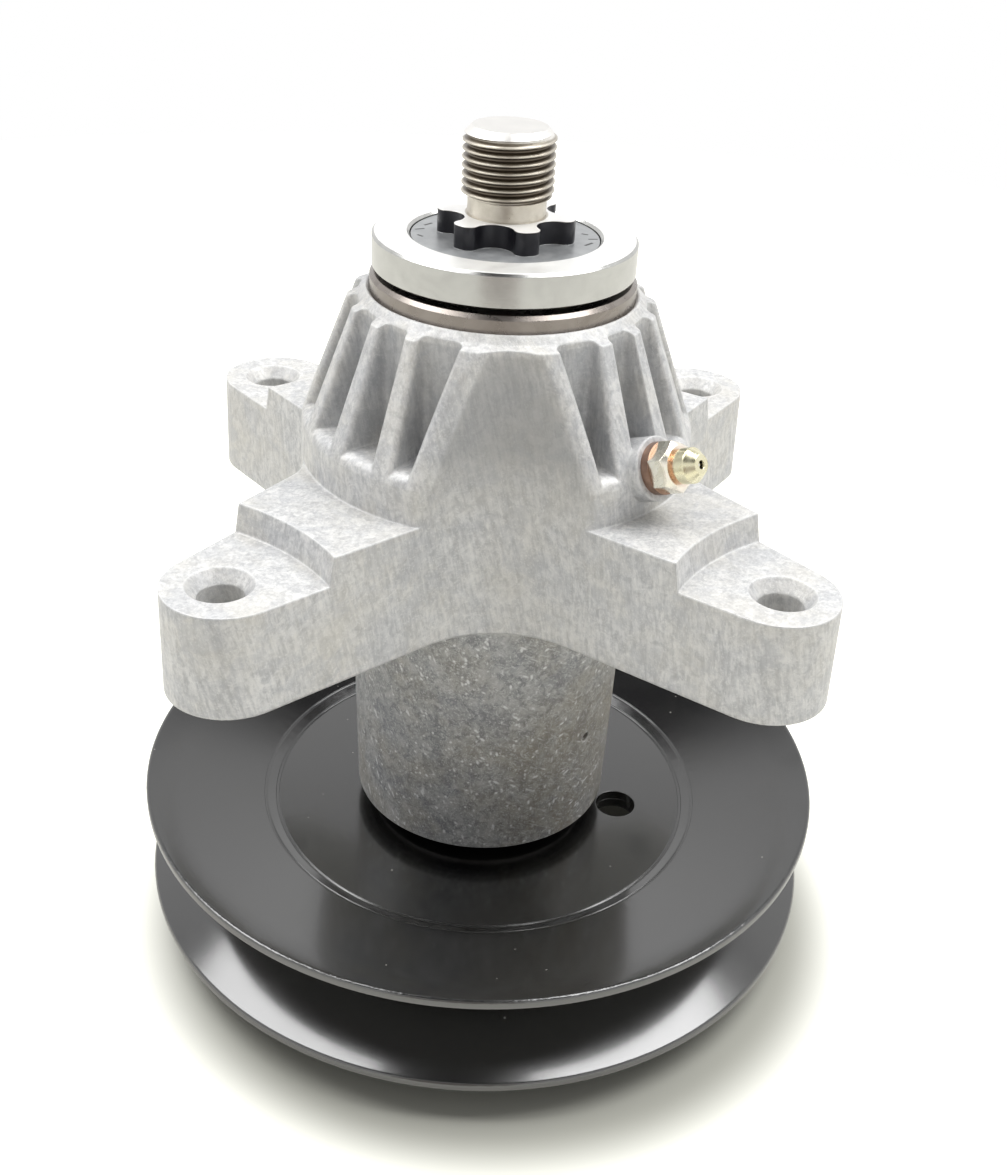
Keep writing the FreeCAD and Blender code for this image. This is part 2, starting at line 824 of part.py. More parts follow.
def rib_pocket(sketch, first_rib, second_rib):
    """The plan of the pocket between two ribs, at the top of the housing."""
    half = dim.rib_thickness / 2
    near, far = dim.tube_radius, dim.skirt_radius + POCKET_OVERRUN
    corners = [
        polar(near, first_rib + arc_sine(half / near)),
        polar(far, first_rib + arc_sine(half / far)),
        polar(far, second_rib - arc_sine(half / far)),
        polar(near, second_rib - arc_sine(half / near)),
    ]
    outline(sketch, corners, {3: (near, (as_size(0), as_size(0)))})


def web_pocket(sketch, rib, across, up):
    """The plan of one of the four pockets between a last rib and the web, along the web's face."""
    web = dim.web_angle
    offset = dim.web_pocket_offset
    half = dim.rib_thickness / 2
    near, far = dim.tube_radius, dim.skirt_radius + POCKET_OVERRUN

    def on_line(radius):
        reach = root(radius * radius - offset * offset)
        return (reach * cosine(web) - offset * sine(web), reach * sine(web) + offset * cosine(web))

    corners = [
        polar(near, rib + arc_sine(half / near)),
        polar(far, rib + arc_sine(half / far)),
        on_line(far),
        on_line(near),
    ]
    corners = [mirrored(corner, across, up) for corner in corners]
    outline(sketch, corners, {3: (near, (as_size(0), as_size(0)))})


def set_on_axis(item, placement, start, height, turn_angle, rise, distance=0):
    """Points an item's Z along a rising radial axis and moves it a distance along that axis."""
    distance = as_size(distance)
    place = polar(as_size(start) + cosine(rise) * distance, turn_angle)
    level = as_size(height) + sine(rise) * distance
    tilt = as_size(90) - rise
    item.setExpression(
        placement,
        f"create(<<placement>>; create(<<vector>>; {place[0].text}; {place[1].text}; {level.text});"
        f" create(<<rotation>>; create(<<vector>>; {(-sine(turn_angle)).text};"
        f" {cosine(turn_angle).text}; 0); {tilt.text}))",
    )


def set_on_fitting(item, placement, distance=0):
    """Points an item's Z along the grease fitting's axis, from the face that its washer lies on."""
    seat_height = MOUNT_FACE + dim.fitting_height
    turn_angle, rise = dim.fitting_turn, dim.fitting_rise
    set_on_axis(item, placement, dim.fitting_place, seat_height, turn_angle, rise, distance)


def fitting_sketch(body, name, distance=0):
    """A sketch square to the grease fitting's axis."""
    sketch = new_sketch(body, name, "XY_Plane")
    set_on_fitting(sketch, "AttachmentOffset", distance)
    return sketch


def on_web_edge(edge, cone_top):
    """True for an edge where the hollow web faces meet the cone."""
    ends = [vertex.Point for vertex in edge.Vertexes]
    if len(ends) != 2 or min(end.z for end in ends) < PAD_FACE.value - 0.1:
        return False
    if max(end.z for end in ends) > cone_top + 0.5 or abs(ends[0].z - ends[1].z) < 1:
        return False
    middle = edge.valueAt((edge.FirstParameter + edge.LastParameter) / 2)
    return abs(middle.y) > abs(middle.x)


def on_rib_edge(edge):
    """True for an edge where a rib's side meets the cone."""
    ends = sorted((vertex.Point for vertex in edge.Vertexes), key=lambda end: end.z)
    if len(ends) != 2 or ends[1].z < cone_top_height().value - 1:
        return False
    floor = (PAD_FACE + dim.pocket_floor_above_pad).value
    if not cone_foot_height().value + 0.1 < ends[0].z < floor + 1:
        return False
    last_rib = (dim.rib_step * (POCKETS_IN_QUARTER + 0.5)).value
    for end in ends:
        off_cone = math.hypot(end.x, end.y) - cone_radius_at(as_size(end.z)).value
        if abs(off_cone) > 0.1 or math.degrees(math.atan2(abs(end.y), abs(end.x))) > last_rib:
            return False
    return True


def cone_foot_height():
    return PAD_FACE + dim.cone_foot_above_pad


def cone_top_height():
    return HOUSING_TOP - dim.cone_top_drop


def cone_radius_at(height):
    """The cone's radius at a height above its foot."""
    rise = cone_top_height() - cone_foot_height()
    lean = (dim.cone_foot_radius - dim.cone_top_radius) / rise
    return dim.cone_foot_radius - (height - cone_foot_height()) * lean


def build_pocket_cutter():
    """The space of the sixteen pockets around the bearing tube, as one tool."""
    body = new_body("pocket_cutter")
    floor = PAD_FACE + dim.pocket_floor_above_pad
    depth = HOUSING_TOP - floor + dim.pocket_rim_fillet
    between_ribs = new_sketch(body, "rib_pockets", "XY_Plane", HOUSING_TOP)
    for middle in (0, 180):
        for number in range(-POCKETS_IN_QUARTER, POCKETS_IN_QUARTER):
            first = dim.rib_step * number + middle
            rib_pocket(between_ribs, first, first + dim.rib_step)
    raise_or_cut(
        body, "rib_pocket_space", "Pad", between_ribs, depth, upward=False, taper=-dim.pocket_draft
    )
    beside_web = new_sketch(body, "web_pockets", "XY_Plane", HOUSING_TOP)
    for across in (1, -1):
        for up in (1, -1):
            web_pocket(beside_web, dim.rib_step * POCKETS_IN_QUARTER, across, up)
    raise_or_cut(
        body, "web_pocket_space", "Pad", beside_web, depth, upward=False, taper=-dim.pocket_draft
    )

    def beside_tube(edge):
        ends = [vertex.Point for vertex in edge.Vertexes]
        if len(ends) != 2 or abs(ends[0].z - ends[1].z) < depth.value / 2:
            return False
        return max(math.hypot(end.x, end.y) for end in ends) < dim.skirt_radius.value - 5

    dress(body, "Fillet", "pocket_corners", dim.pocket_corner_fillet, beside_tube)
    rim = dim.pocket_rim_fillet
    lean = (dim.cone_foot_radius - dim.cone_top_radius) / (cone_top_height() - cone_foot_height())
    spread = rim * (root(lean * lean + 1) - lean)
    rim_middle = cone_radius_at(floor) - spread + POCKET_RIM_PROUD
    floor_profile = new_sketch(body, "floor_profile", "XZ_Plane")
    outline(
        floor_profile,
        [
            (0, floor - rim - 1),
            (dim.skirt_radius * 2, floor - rim - 1),
            (dim.skirt_radius * 2, floor - rim),
            (rim_middle + rim, floor - rim),
            (rim_middle, floor),
            (0, floor),
        ],
        {3: (rim, (rim_middle, floor - rim))},
    )
    turn(body, "pocket_floor", "Groove", floor_profile)
    return body


def build_housing():
    """The die-cast housing: barrel, four-armed mounting flange, ribbed cone and bearing seats."""
    body = new_body("housing")
    barrel = new_sketch(body, "barrel_profile", "XZ_Plane")
    outline(
        barrel,
        [
            (0, BARREL_END),
            (dim.barrel_radius - dim.barrel_chamfer, BARREL_END),
            (dim.barrel_radius, BARREL_END + dim.barrel_chamfer),
            (dim.barrel_root_radius, MOUNT_FACE),
            (dim.shoulder_radius, EAR_FACE),
            (0, EAR_FACE),
        ],
    )
    turn(body, "barrel", "Revolution", barrel)
    plan = new_sketch(body, "arm_plan", "XY_Plane", MOUNT_FACE)
    draw_housing_plan(plan)
    raise_or_cut(body, "arms_and_cone", "Pad", plan, HOUSING_TOP - MOUNT_FACE, taper=-dim.casting_draft)

    beyond = dim.hole_half_x * 2
    cone_foot, cone_top = cone_foot_height(), cone_top_height()
    flat_edge = dim.bearing_outer_radius + dim.rim_flat
    envelope = new_sketch(body, "cone_profile", "XZ_Plane")
    outline(
        envelope,
        [
            (beyond, PAD_FACE),
            (dim.skirt_radius - dim.skirt_edge, PAD_FACE),
            (dim.cone_foot_radius, cone_foot),
            (dim.cone_top_radius, cone_top),
            (dim.tube_radius, HOUSING_TOP - dim.tube_edge_drop),
            (flat_edge, HOUSING_TOP),
            (flat_edge, HOUSING_TOP + 1),
            (beyond, HOUSING_TOP + 1),
        ],
    )
    turn(body, "cone", "Groove", envelope)
    dress(body, "Fillet", "web_edges", dim.web_edge_fillet, lambda edge: on_web_edge(edge, cone_top.value))

    relief = new_sketch(body, "ear_relief", "XY_Plane", EAR_FACE)
    diagonal = root(dim.hole_half_x * dim.hole_half_x + dim.hole_half_y * dim.hole_half_y)
    relief_reach = (dim.riser_radius + dim.relief_radius) / diagonal
    for across in (1, -1):
        for up in (1, -1):
            centre = (dim.hole_half_x * relief_reach * across, dim.hole_half_y * relief_reach * up)
            circle(relief, centre, dim.relief_radius)
    raise_or_cut(
        body, "ear_relief_cut", "Pocket", relief, dim.pad_thickness - dim.ear_thickness + 1,
        taper=dim.riser_draft,
    )

    hollows = body.newObject("PartDesign::Boolean", "pockets")
    hollows.Type = "Cut"
    hollows.Group = [build_pocket_cutter()]
    body.Tip = hollows

    boss = fitting_sketch(body, "fitting_boss")
    circle(boss, (0, 0), dim.boss_radius)
    raise_or_cut(
        body, "fitting_boss_raise", "Pad", boss,
        (dim.fitting_place - SEAT_RADIUS) / cosine(dim.fitting_rise), upward=False,
    )

    bore = new_sketch(body, "bore_profile", "XZ_Plane")
    chamfer = dim.seat_chamfer
    slope = dim.cavity_radius - dim.shoulder_radius
    low_shoulder = PULLEY_BEARING_TOP + dim.shoulder_width
    high_shoulder = BLADE_BEARING_LOW - dim.shoulder_width
    outline(
        bore,
        [
            (0, BARREL_END),
            (SEAT_RADIUS + chamfer, BARREL_END),
            (SEAT_RADIUS, BARREL_END + chamfer),
            (SEAT_RADIUS, PULLEY_BEARING_TOP),
            (dim.shoulder_radius, PULLEY_BEARING_TOP),
            (dim.shoulder_radius, low_shoulder),
            (dim.cavity_radius, low_shoulder + slope),
            (dim.cavity_radius, high_shoulder - slope),
            (dim.shoulder_radius, high_shoulder),
            (dim.shoulder_radius, BLADE_BEARING_LOW),
            (SEAT_RADIUS, BLADE_BEARING_LOW),
            (SEAT_RADIUS, HOUSING_TOP - chamfer),
            (SEAT_RADIUS + chamfer, HOUSING_TOP),
            (0, HOUSING_TOP),
        ],
    )
    turn(body, "bore", "Groove", bore)

    grease_way = fitting_sketch(body, "grease_way")
    circle(grease_way, (0, 0), dim.grease_hole_radius)
    raise_or_cut(body, "grease_way_cut", "Pocket", grease_way, dim.fitting_place - dim.shoulder_radius / 2,
                 upward=False)
    fitting_hole = fitting_sketch(body, "fitting_hole")
    circle(fitting_hole, (0, 0), dim.fitting_thread_radius + dim.fitting_thread_gap)
    raise_or_cut(body, "fitting_hole_cut", "Pocket", fitting_hole, dim.fitting_thread_length + 1,
                 upward=False)

    weep = new_sketch(body, "weep_hole", "XY_Plane")
    weep_level = BARREL_END + dim.weep_height
    set_on_axis(weep, "AttachmentOffset", dim.barrel_root_radius + 1, weep_level, dim.weep_turn, dim.weep_slant)
    circle(weep, (0, 0), dim.weep_radius)
    raise_or_cut(body, "weep_hole_cut", "Pocket", weep, dim.barrel_root_radius - dim.shoulder_radius + 2,
                 upward=False)

    holes = new_sketch(body, "mounting_holes", "XY_Plane", EAR_FACE)
    for across in (1, -1):
        for up in (1, -1):
            circle(holes, (dim.hole_half_x * across, dim.hole_half_y * up), dim.hole_radius)
    doc.recompute()
    drilled = body.newObject("PartDesign::Hole", "mounting_hole_drilling")
    drilled.Profile = holes
    drilled.DepthType = "ThroughAll"
    drilled.setExpression("Diameter", (dim.hole_radius * 2).text)
    drilled.HoleCutType = "Countersink"
    drilled.HoleCutCustomValues = True
    drilled.setExpression("HoleCutDiameter", (dim.hole_mouth_radius * 2).text)
    drilled.setExpression("HoleCutCountersinkAngle", dim.hole_mouth_angle.text)
    body.Tip = drilled
    dress(body, "Fillet", "rib_edges", dim.rib_edge_fillet, on_rib_edge)
    return body


def build_fitting_body():
    """The grease fitting: thread, hexagon, neck and the coned head with its check bore."""
    body = new_body("grease_fitting_body")
    hex_low = dim.fitting_washer_thickness
    neck_low = hex_low + dim.fitting_hex_height
    head_low = neck_low + dim.fitting_neck_height
    cone_low = head_low + dim.fitting_head_height
    tip = cone_low + dim.fitting_cone_height
    profile = new_sketch(body, "fitting_profile", "XZ_Plane")
    outline(
        profile,
        [
            (0, -dim.fitting_thread_length),
            (dim.fitting_thread_radius, -dim.fitting_thread_length),
            (dim.fitting_thread_radius, hex_low),
            (dim.fitting_neck_radius, hex_low),
            (dim.fitting_neck_radius, head_low),
            (dim.fitting_head_radius, head_low),
            (dim.fitting_head_radius, cone_low),
            (dim.fitting_tip_radius, tip),
            (0, tip),
        ],
    )
    turn(body, "fitting_turning", "Revolution", profile)
    hexagon_sketch = new_sketch(body, "fitting_hexagon", "XY_Plane", hex_low)
    outline(hexagon_sketch, hexagon(dim.fitting_flats, dim.fitting_hex_turn))
    raise_or_cut(body, "fitting_hexagon_raise", "Pad", hexagon_sketch, dim.fitting_hex_height)
    seat_top = tip - dim.check_mouth_length
    seat_low = seat_top - (dim.check_bore_radius - dim.check_mouth_radius)
    stop_top = spring_foot_place() - dim.spring_stop_gap
    bore = new_sketch(body, "check_bore_profile", "XZ_Plane")
    outline(
        bore,
        [
            (0, -dim.fitting_thread_length),
            (dim.spring_stop_radius, -dim.fitting_thread_length),
            (dim.spring_stop_radius, stop_top),
            (dim.check_bore_radius, stop_top),
            (dim.check_bore_radius, seat_low),
            (dim.check_mouth_radius, seat_top),
            (dim.check_mouth_radius, tip),
            (0, tip),
        ],
    )
    turn(body, "check_bore", "Groove", bore)
    set_on_fitting(body, "Placement")
    return body


def build_fitting_washer():
    """The flat washer under the fitting's hexagon."""
    inner = dim.fitting_thread_radius + dim.fitting_thread_gap
    body = turned(
        "grease_fitting_washer",
        [
            (inner, 0),
            (dim.fitting_washer_radius, 0),
            (dim.fitting_washer_radius, dim.fitting_washer_thickness),
            (inner, dim.fitting_washer_thickness),
        ],
    )
    set_on_fitting(body, "Placement")
    return body


def check_ball_place():
    """How far along the fitting's axis the middle of the check ball lies."""
    tip = (
        dim.fitting_washer_thickness
        + dim.fitting_hex_height
        + dim.fitting_neck_height
        + dim.fitting_head_height
        + dim.fitting_cone_height
    )
    seat_reach = root(as_size(2)) * (dim.check_ball_radius + dim.check_seat_gap)
    return tip - dim.check_mouth_length + dim.check_mouth_radius - seat_reach


def spring_foot_place():
    """How far along the fitting's axis the check spring's foot lies."""
    return check_ball_place() - dim.check_ball_radius - dim.spring_length - dim.spring_wire_radius


def build_check_ball():
    """The ball that shuts the fitting's mouth."""
    ball = doc.addObject("Part::Sphere", "grease_fitting_ball")
    ball.Label = "grease_fitting_ball"
    ball.setExpression("Radius", dim.check_ball_radius.text)
    set_on_fitting(ball, "Placement", check_ball_place())
    return ball


def build_check_spring():
    """The coil spring that holds the check ball up."""
    body = new_body("grease_fitting_spring")
    wire = new_sketch(body, "spring_wire", "XZ_Plane")
    circle(wire, (dim.spring_coil_radius, 0), dim.spring_wire_radius)
    coil = body.newObject("PartDesign::AdditiveHelix", "spring_coil")
    coil.Profile = wire
    coil.ReferenceAxis = (wire, ["V_Axis"])
    coil.Mode = "pitch-height-angle"
    coil.setExpression("Pitch", dim.spring_pitch.text)
    coil.setExpression("Height", dim.spring_length.text)
    set_on_fitting(body, "Placement", spring_foot_place() + dim.spring_wire_radius)
    return body


pieces = [
    build_housing(),
    build_fitting_body(),
    build_fitting_washer(),
    build_check_spring(),
    build_check_ball(),
    build_shaft(),
    build_slinger(),
    build_spacer(),
    build_shield(),
    build_hub(),
    build_pulley_half("pulley_upper_half", 1),
    build_pulley_half("pulley_lower_half", -1),
    build_nut(),
]
pieces += build_bearing("blade_bearing", BLADE_BEARING_LOW)
pieces += build_bearing("pulley_bearing", PULLEY_BEARING_LOW)
doc.recompute()

for item in doc.Objects:
    if "Invalid" in item.State or "Error" in item.State:
        raise RuntimeError(f"{item.Name} did not compute")

os.makedirs("parts", exist_ok=True)
for piece in pieces:
    if piece.Shape.isNull() or not piece.Shape.isValid():
        raise RuntimeError(f"{piece.Label} has no sound shape")
    piece.Shape.exportStep(f"parts/{piece.Label}.step")
    print(piece.Label, len(piece.Shape.Solids), round(piece.Shape.Volume, 1), len(piece.Shape.Faces))
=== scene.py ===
"""The looks of a mower deck spindle: its finishes, threads and small forms, the light and the camera."""

import math

import bpy
from mathutils import Matrix, Vector


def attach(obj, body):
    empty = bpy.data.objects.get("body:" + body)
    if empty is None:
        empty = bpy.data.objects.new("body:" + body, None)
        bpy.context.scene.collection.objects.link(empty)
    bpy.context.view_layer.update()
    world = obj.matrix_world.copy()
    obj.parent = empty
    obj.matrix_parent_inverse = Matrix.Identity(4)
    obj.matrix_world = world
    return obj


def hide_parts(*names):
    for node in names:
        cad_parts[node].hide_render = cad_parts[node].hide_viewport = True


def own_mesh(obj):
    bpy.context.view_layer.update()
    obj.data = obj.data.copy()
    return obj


MM = 0.001
MERGE_GAP = 0.001

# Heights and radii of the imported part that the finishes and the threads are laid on, in millimetres
MOUNT_FACE = 79.5
CONE_FOOT = 110.0
CONE_TOP = 132.3
CONE_FOOT_RADIUS = 35.9
CONE_LEAN = 0.381
DISC_TOP = 143.4
RING_TOP = 144.05
STAR_TOP = 147.4
NECK_TOP = 150.3
SHAFT_TOP = 162.0
THREAD_RADIUS = 7.94
NECK_RADIUS = 6.8
RIM_RADIUS = 69.85

# The darker tongue on the webs: half its width at the top, its spread on the way down, and its middle
TONGUE_HALF = 4.4
TONGUE_SPREAD = 0.388
TONGUE_MIDDLE = 0.9

# The darker, browner tone low on the barrel's right: where it begins and is full, going down and going
# right
LOW_TAN_TOP = 70.0
LOW_TAN_FULL = 50.0
LOW_TAN_LEFT = -8.0
LOW_TAN_RIGHT = 12.0

# The 5/8 inch thread: eighteen turns to the inch
PITCH = 25.4 / 18
THREAD_DEPTH = 0.866
THREAD_OVERRUN = 0.09
ROOT_FLAT = 0.234
FLANK_SLOPE = math.tan(math.radians(30))
TURN_STEPS = 96

# Where each end's groove starts, and how many turns it makes
BLADE_END_GROOVE = (NECK_TOP - 0.6, 9)
PULLEY_END_GROOVE = (-0.9, 2)

# The grease fitting: its axis, its seat's distance from the spindle's axis and height, the seat's
# place along the fitting's axis, and from the seat where its hexagon and its neck end
FITTING_AXIS = (0.646, -0.646, 0.4067)
FITTING_PLACE = 37.0
FITTING_LEVEL = 112.1
FITTING_SEAT = 79.39
FITTING_HEX_END = 4.9
FITTING_NECK_END = 5.7

# The cone that turns off the hexagon's corners: inner and outer radius, and fall between them
FITTING_CHAMFER = (3.45, 5.4, 1.25)
CHAMFER_OVERRUN = 0.02
RING_STEPS = 72

# The fold lines of the pulley's upper sheet: radius and height of each, and the tool's round and lift
FOLD_LINES = ((43.35, 22.8), (45.75, 23.8))
FOLD_LINE_ROUND = 0.42
FOLD_LINE_LIFT = 0.231
FOLD_LINE_STEPS = 192

# Where a staking tool marked the disc: turn, distance from the axis, slant to the radius and length
STAKE_MARKS = (
    (-14.0, 14.6, 62.0, 2.4),
    (-2.0, 15.2, 8.0, 1.8),
    (9.0, 14.2, -35.0, 1.4),
    (158.0, 14.4, 70.0, 2.2),
    (171.0, 15.0, 30.0, 1.9),
    (186.0, 14.8, -52.0, 1.5),
)
MARK_WIDTH = 0.60

# How the die's scuffs lie on the casting: turns in degrees about X, Y and Z
SCUFF_TURNS = ((25.0, 10.0, 0.0), (-38.0, 52.0, 20.0), (70.0, -30.0, 45.0))

# The camera: place in millimetres, level heading, tilt and lean in degrees, and lens
CAMERA_PLACE = (-14.31, -235.92, 213.66)
CAMERA_LEVEL = (0.0729, 0.9973)
CAMERA_DOWN = 30.84
CAMERA_LEAN = 3.07
CAMERA_LENS = 42.31
SENSOR = 36.0

# The floor: how far it lies under the part in millimetres, and in metres its reach, the middle of the
# painted shadow patch round the part's foot, and how far from there it is full and gives way to white
FLOOR_DROP = 0.05
FLOOR_REACH = 0.7
PAINTED_SHADOW_MIDDLE = (0.003, -0.009, 0.0)
PAINTED_SHADOW_FULL = 0.063
PAINTED_SHADOW_END = 0.082

# The floor's colour as the part is lit by it and as the camera sees it, the latter darker, which deepens
# the shadow; and its glow outside the painted shadow patch
FLOOR_LIT = (0.73, 0.72, 0.67, 1.0)
FLOOR_SEEN = (0.47, 0.47, 0.42, 1.0)
FLOOR_GLOW = 0.98

# The surround: its light on the part, the dim ceiling that metal mirrors, and the sines of the
# heights between which the one gives way to the other; last, the floor's glow as metal mirrors it
FILL_LEVEL = 0.44
CEILING_LEVEL = 0.05
CEILING_START = 0.60
CEILING_FULL = 0.78
MIRRORED_GLOW = 0.08

# The dull card behind the camera
CARD_PLACE = (-0.05, -0.42, 0.13)
CARD_SIZE = (0.24, 0.26, 1.0)
CARD_COLOUR = (1.0, 0.86, 0.80, 1.0)
CARD_GLOW = 0.36

# The two soft boxes: name, place and power; both are this wide and point at this place on the part
LAMPS = (("left_box", (-0.48, 0.13, 0.95), 7.6), ("right_box", (0.45, 0.04, 0.98), 9.2))
LAMP_WIDTH = 0.62
LAMP_AIM = (0.0, 0.0, 0.08)

BEARINGS = ("blade_bearing", "pulley_bearing")


class Finish:
    """A material under way, with the few kinds of node that the finishes share."""

    def __init__(self, name):
        self.material = bpy.data.materials.new(name)
        self.material.use_nodes = True
        self.tree = self.material.node_tree
        self.shader = self.tree.nodes["Principled BSDF"]
        self.place = self.add("ShaderNodeTexCoord").outputs["Object"]

    def add(self, kind, **settings):
        """A new node of a kind, with its settings."""
        node = self.tree.nodes.new(kind)
        for setting, value in settings.items():
            setattr(node, setting, value)
        return node

    def feed(self, socket, value):
        """Links an output to a socket, or sets the socket to a plain value."""
        if isinstance(value, bpy.types.NodeSocket):
            self.tree.links.new(value, socket)
        else:
            socket.default_value = value

    def set(self, **values):
        """Sets the shader's sockets, written with underscores for spaces."""
        for name, value in values.items():
            self.feed(self.shader.inputs[name.replace("_", " ")], value)

    def maths(self, operation, first, second=0.0):
        """One sum on one or two values, each an output or a plain number."""
        node = self.add("ShaderNodeMath", operation=operation)
        self.feed(node.inputs[0], first)
        self.feed(node.inputs[1], second)
        return node.outputs[0]

    def times(self, first, second):
        return self.maths("MULTIPLY", first, second)

    def plus(self, first, second):
        return self.maths("ADD", first, second)

    def minus(self, first, second):
        return self.maths("SUBTRACT", first, second)

    def larger(self, first, second):
        return self.maths("MAXIMUM", first, second)

    def size_of(self, value):
        """A value without its sign."""
        return self.maths("ABSOLUTE", value)

    def turned(self, turns, stretch):
        """The place turned by three angles and drawn out along one axis, for slanting marks."""
        turn = self.add("ShaderNodeMapping")
        turn.inputs["Rotation"].default_value = [math.radians(angle) for angle in turns]
        self.feed(turn.inputs["Vector"], self.place)
        draw = self.add("ShaderNodeMapping")
        draw.inputs["Scale"].default_value = (1.0, 1.0, 1 / stretch)
        self.feed(draw.inputs["Vector"], turn.outputs[0])
        return draw.outputs[0]

    def scuffs(self, size, stretch, wide, thin):
        """Short bright scuffs that lie in several directions: 1 on a scuff and 0 off it."""
        total = 0.0
        for turns in SCUFF_TURNS:
            spots = self.fade(self.cells(size, place=self.turned(turns, stretch)), wide, thin)
            total = self.larger(spots, total)
        return total

    def hairs(self, size, stretch, low, high):
        """Hair-thin scratches in the same directions as the scuffs."""
        total = 0.0
        for turns in SCUFF_TURNS:
            streaks = self.noise(size, detail=2.0, rough=0.6, place=self.turned(turns, stretch))
            total = self.larger(self.fade(streaks, low, high), total)
        return total

    def painted_pocket_shade(self):
        """Where shade is painted: 1 in the pockets between the ribs and 0 on the cone that the ribs'
        edges reach.
        """
        _, _, height = self.axes()
        rise = self.minus(height, CONE_FOOT * MM)
        cone = self.minus(CONE_FOOT_RADIUS * MM, self.times(rise, CONE_LEAN))
        sunk = self.fade(self.minus(cone, self.radius()), 0.8 * MM, 2.2 * MM)
        above_foot = self.fade(height, (CONE_FOOT + 1.0) * MM, (CONE_FOOT + 6.0) * MM)
        below_top = self.fade(height, CONE_TOP * MM, (CONE_TOP - 0.6) * MM)
        return self.times(self.times(above_foot, below_top), sunk)

    def on_tongue(self):
        """1 on the darker tongue down the front and back webs, between their paler edge bands."""
        x, y, height = self.axes()
        off_middle = self.size_of(self.minus(x, TONGUE_MIDDLE * MM))
        fall = self.minus(CONE_TOP * MM, height)
        half = self.plus(self.times(fall, TONGUE_SPREAD), TONGUE_HALF * MM)
        within = self.fade(self.minus(off_middle, half), 0.45 * MM, -0.45 * MM)
        ahead = self.minus(self.size_of(y), self.size_of(x))
        on_web = self.fade(ahead, 0.0, 2.0 * MM)
        above_foot = self.fade(height, (CONE_FOOT - 9.0) * MM, (CONE_FOOT + 6.0) * MM)
        below_top = self.fade(height, (CONE_TOP - 0.1) * MM, (CONE_TOP - 1.2) * MM)
        shown = self.times(self.times(above_foot, below_top), on_web)
        return self.times(shown, within)

    def along(self, axis, start):
        """The distance along an axis past its start in millimetres, in metres."""
        node = self.add("ShaderNodeVectorMath", operation="DOT_PRODUCT")
        self.feed(node.inputs[0], self.place)
        node.inputs[1].default_value = axis
        return self.minus(node.outputs["Value"], start * MM)

    def edges(self, size):
        """1 on the rounded edges of a solid and 0 on its faces."""
        bevel = self.add("ShaderNodeBevel", samples=6)
        bevel.inputs["Radius"].default_value = size * MM
        geometry = self.add("ShaderNodeNewGeometry")
        node = self.add("ShaderNodeVectorMath", operation="DOT_PRODUCT")
        self.feed(node.inputs[0], bevel.outputs[0])
        self.feed(node.inputs[1], geometry.outputs["Normal"])
        return self.fade(node.outputs["Value"], 0.99, 0.90)

    def noise(self, size, detail=3.0, rough=0.55, place=None, warp=0.0):
        """Cloudy noise whose blots are about size millimetres across."""
        node = self.add("ShaderNodeTexNoise")
        self.feed(node.inputs["Vector"], place or self.place)
        node.inputs["Scale"].default_value = 1 / (size * MM)
        node.inputs["Detail"].default_value = detail
        node.inputs["Roughness"].default_value = rough
        node.inputs["Distortion"].default_value = warp
        return node.outputs["Fac"]

    def cells(self, size, place=None):
        """The distance to scattered points about size millimetres apart."""
        node = self.add("ShaderNodeTexVoronoi", feature="F1")
        self.feed(node.inputs["Vector"], place or self.place)
        node.inputs["Scale"].default_value = 1 / (size * MM)
        return node.outputs["Distance"]

    def fade(self, value, low, high):
        """0 below low, 1 above high and a smooth step between; turned round where low is the larger."""
        node = self.add("ShaderNodeMapRange", interpolation_type="SMOOTHSTEP")
        self.feed(node.inputs["Value"], value)
        node.inputs["From Min"].default_value = low
        node.inputs["From Max"].default_value = high
        return node.outputs["Result"]

    def spread(self, value, low, high):
        """Noise, which mostly lies between 0.25 and 0.75, turned into a range of plain values."""
        node = self.add("ShaderNodeMapRange")
        self.feed(node.inputs["Value"], value)
        node.inputs["From Min"].default_value = 0.25
        node.inputs["From Max"].default_value = 0.75
        node.inputs["To Min"].default_value = low
        node.inputs["To Max"].default_value = high
        return node.outputs["Result"]

    def blend(self, factor, first, second):
        """Two colours mixed; a colour is an output or three values."""
        node = self.add("ShaderNodeMix", data_type="RGBA")
        self.feed(node.inputs["Factor"], factor)
        for socket, value in ((node.inputs[6], first), (node.inputs[7], second)):
            self.feed(socket, value if isinstance(value, bpy.types.NodeSocket) else (*value, 1.0))
        return node.outputs[2]

    def axes(self):
        """The three coordinates of the place, in metres."""
        node = self.add("ShaderNodeSeparateXYZ")
        self.feed(node.inputs[0], self.place)
        return node.outputs["X"], node.outputs["Y"], node.outputs["Z"]

    def radius(self):
        """The distance from the spin axis, in metres."""
        x, y, _ = self.axes()
        squares = self.plus(self.times(x, x), self.times(y, y))
        return self.maths("SQRT", squares)

    def nick(self, turn, reach, slant, length):
        """1 inside a short straight nick on the disc and 0 outside it."""
        middle = Matrix.Rotation(math.radians(turn), 3, "Z") @ Vector((reach * MM, 0.0, 0.0))
        node = self.add("ShaderNodeMapping", vector_type="TEXTURE")
        node.inputs["Location"].default_value = middle
        node.inputs["Rotation"].default_value = (0.0, 0.0, math.radians(turn + slant))
        self.feed(node.inputs["Vector"], self.place)
        parts = self.add("ShaderNodeSeparateXYZ")
        self.feed(parts.inputs[0], node.outputs[0])
        lengthwise = self.size_of(parts.outputs["X"])
        sideways = self.size_of(parts.outputs["Y"])
        within_length = self.fade(lengthwise, length / 2 * MM, (length / 2 - 0.12) * MM)
        within_width = self.fade(sideways, MARK_WIDTH / 2 * MM, (MARK_WIDTH / 2 - 0.1) * MM)
        return self.times(within_length, within_width)

    def ring_lines(self, size, place_value):
        """Fine turned lines: noise that changes only along one value."""
        node = self.add("ShaderNodeCombineXYZ")
        self.feed(node.inputs["X"], place_value)
        return self.noise(size, detail=2.0, rough=0.7, place=node.outputs[0])

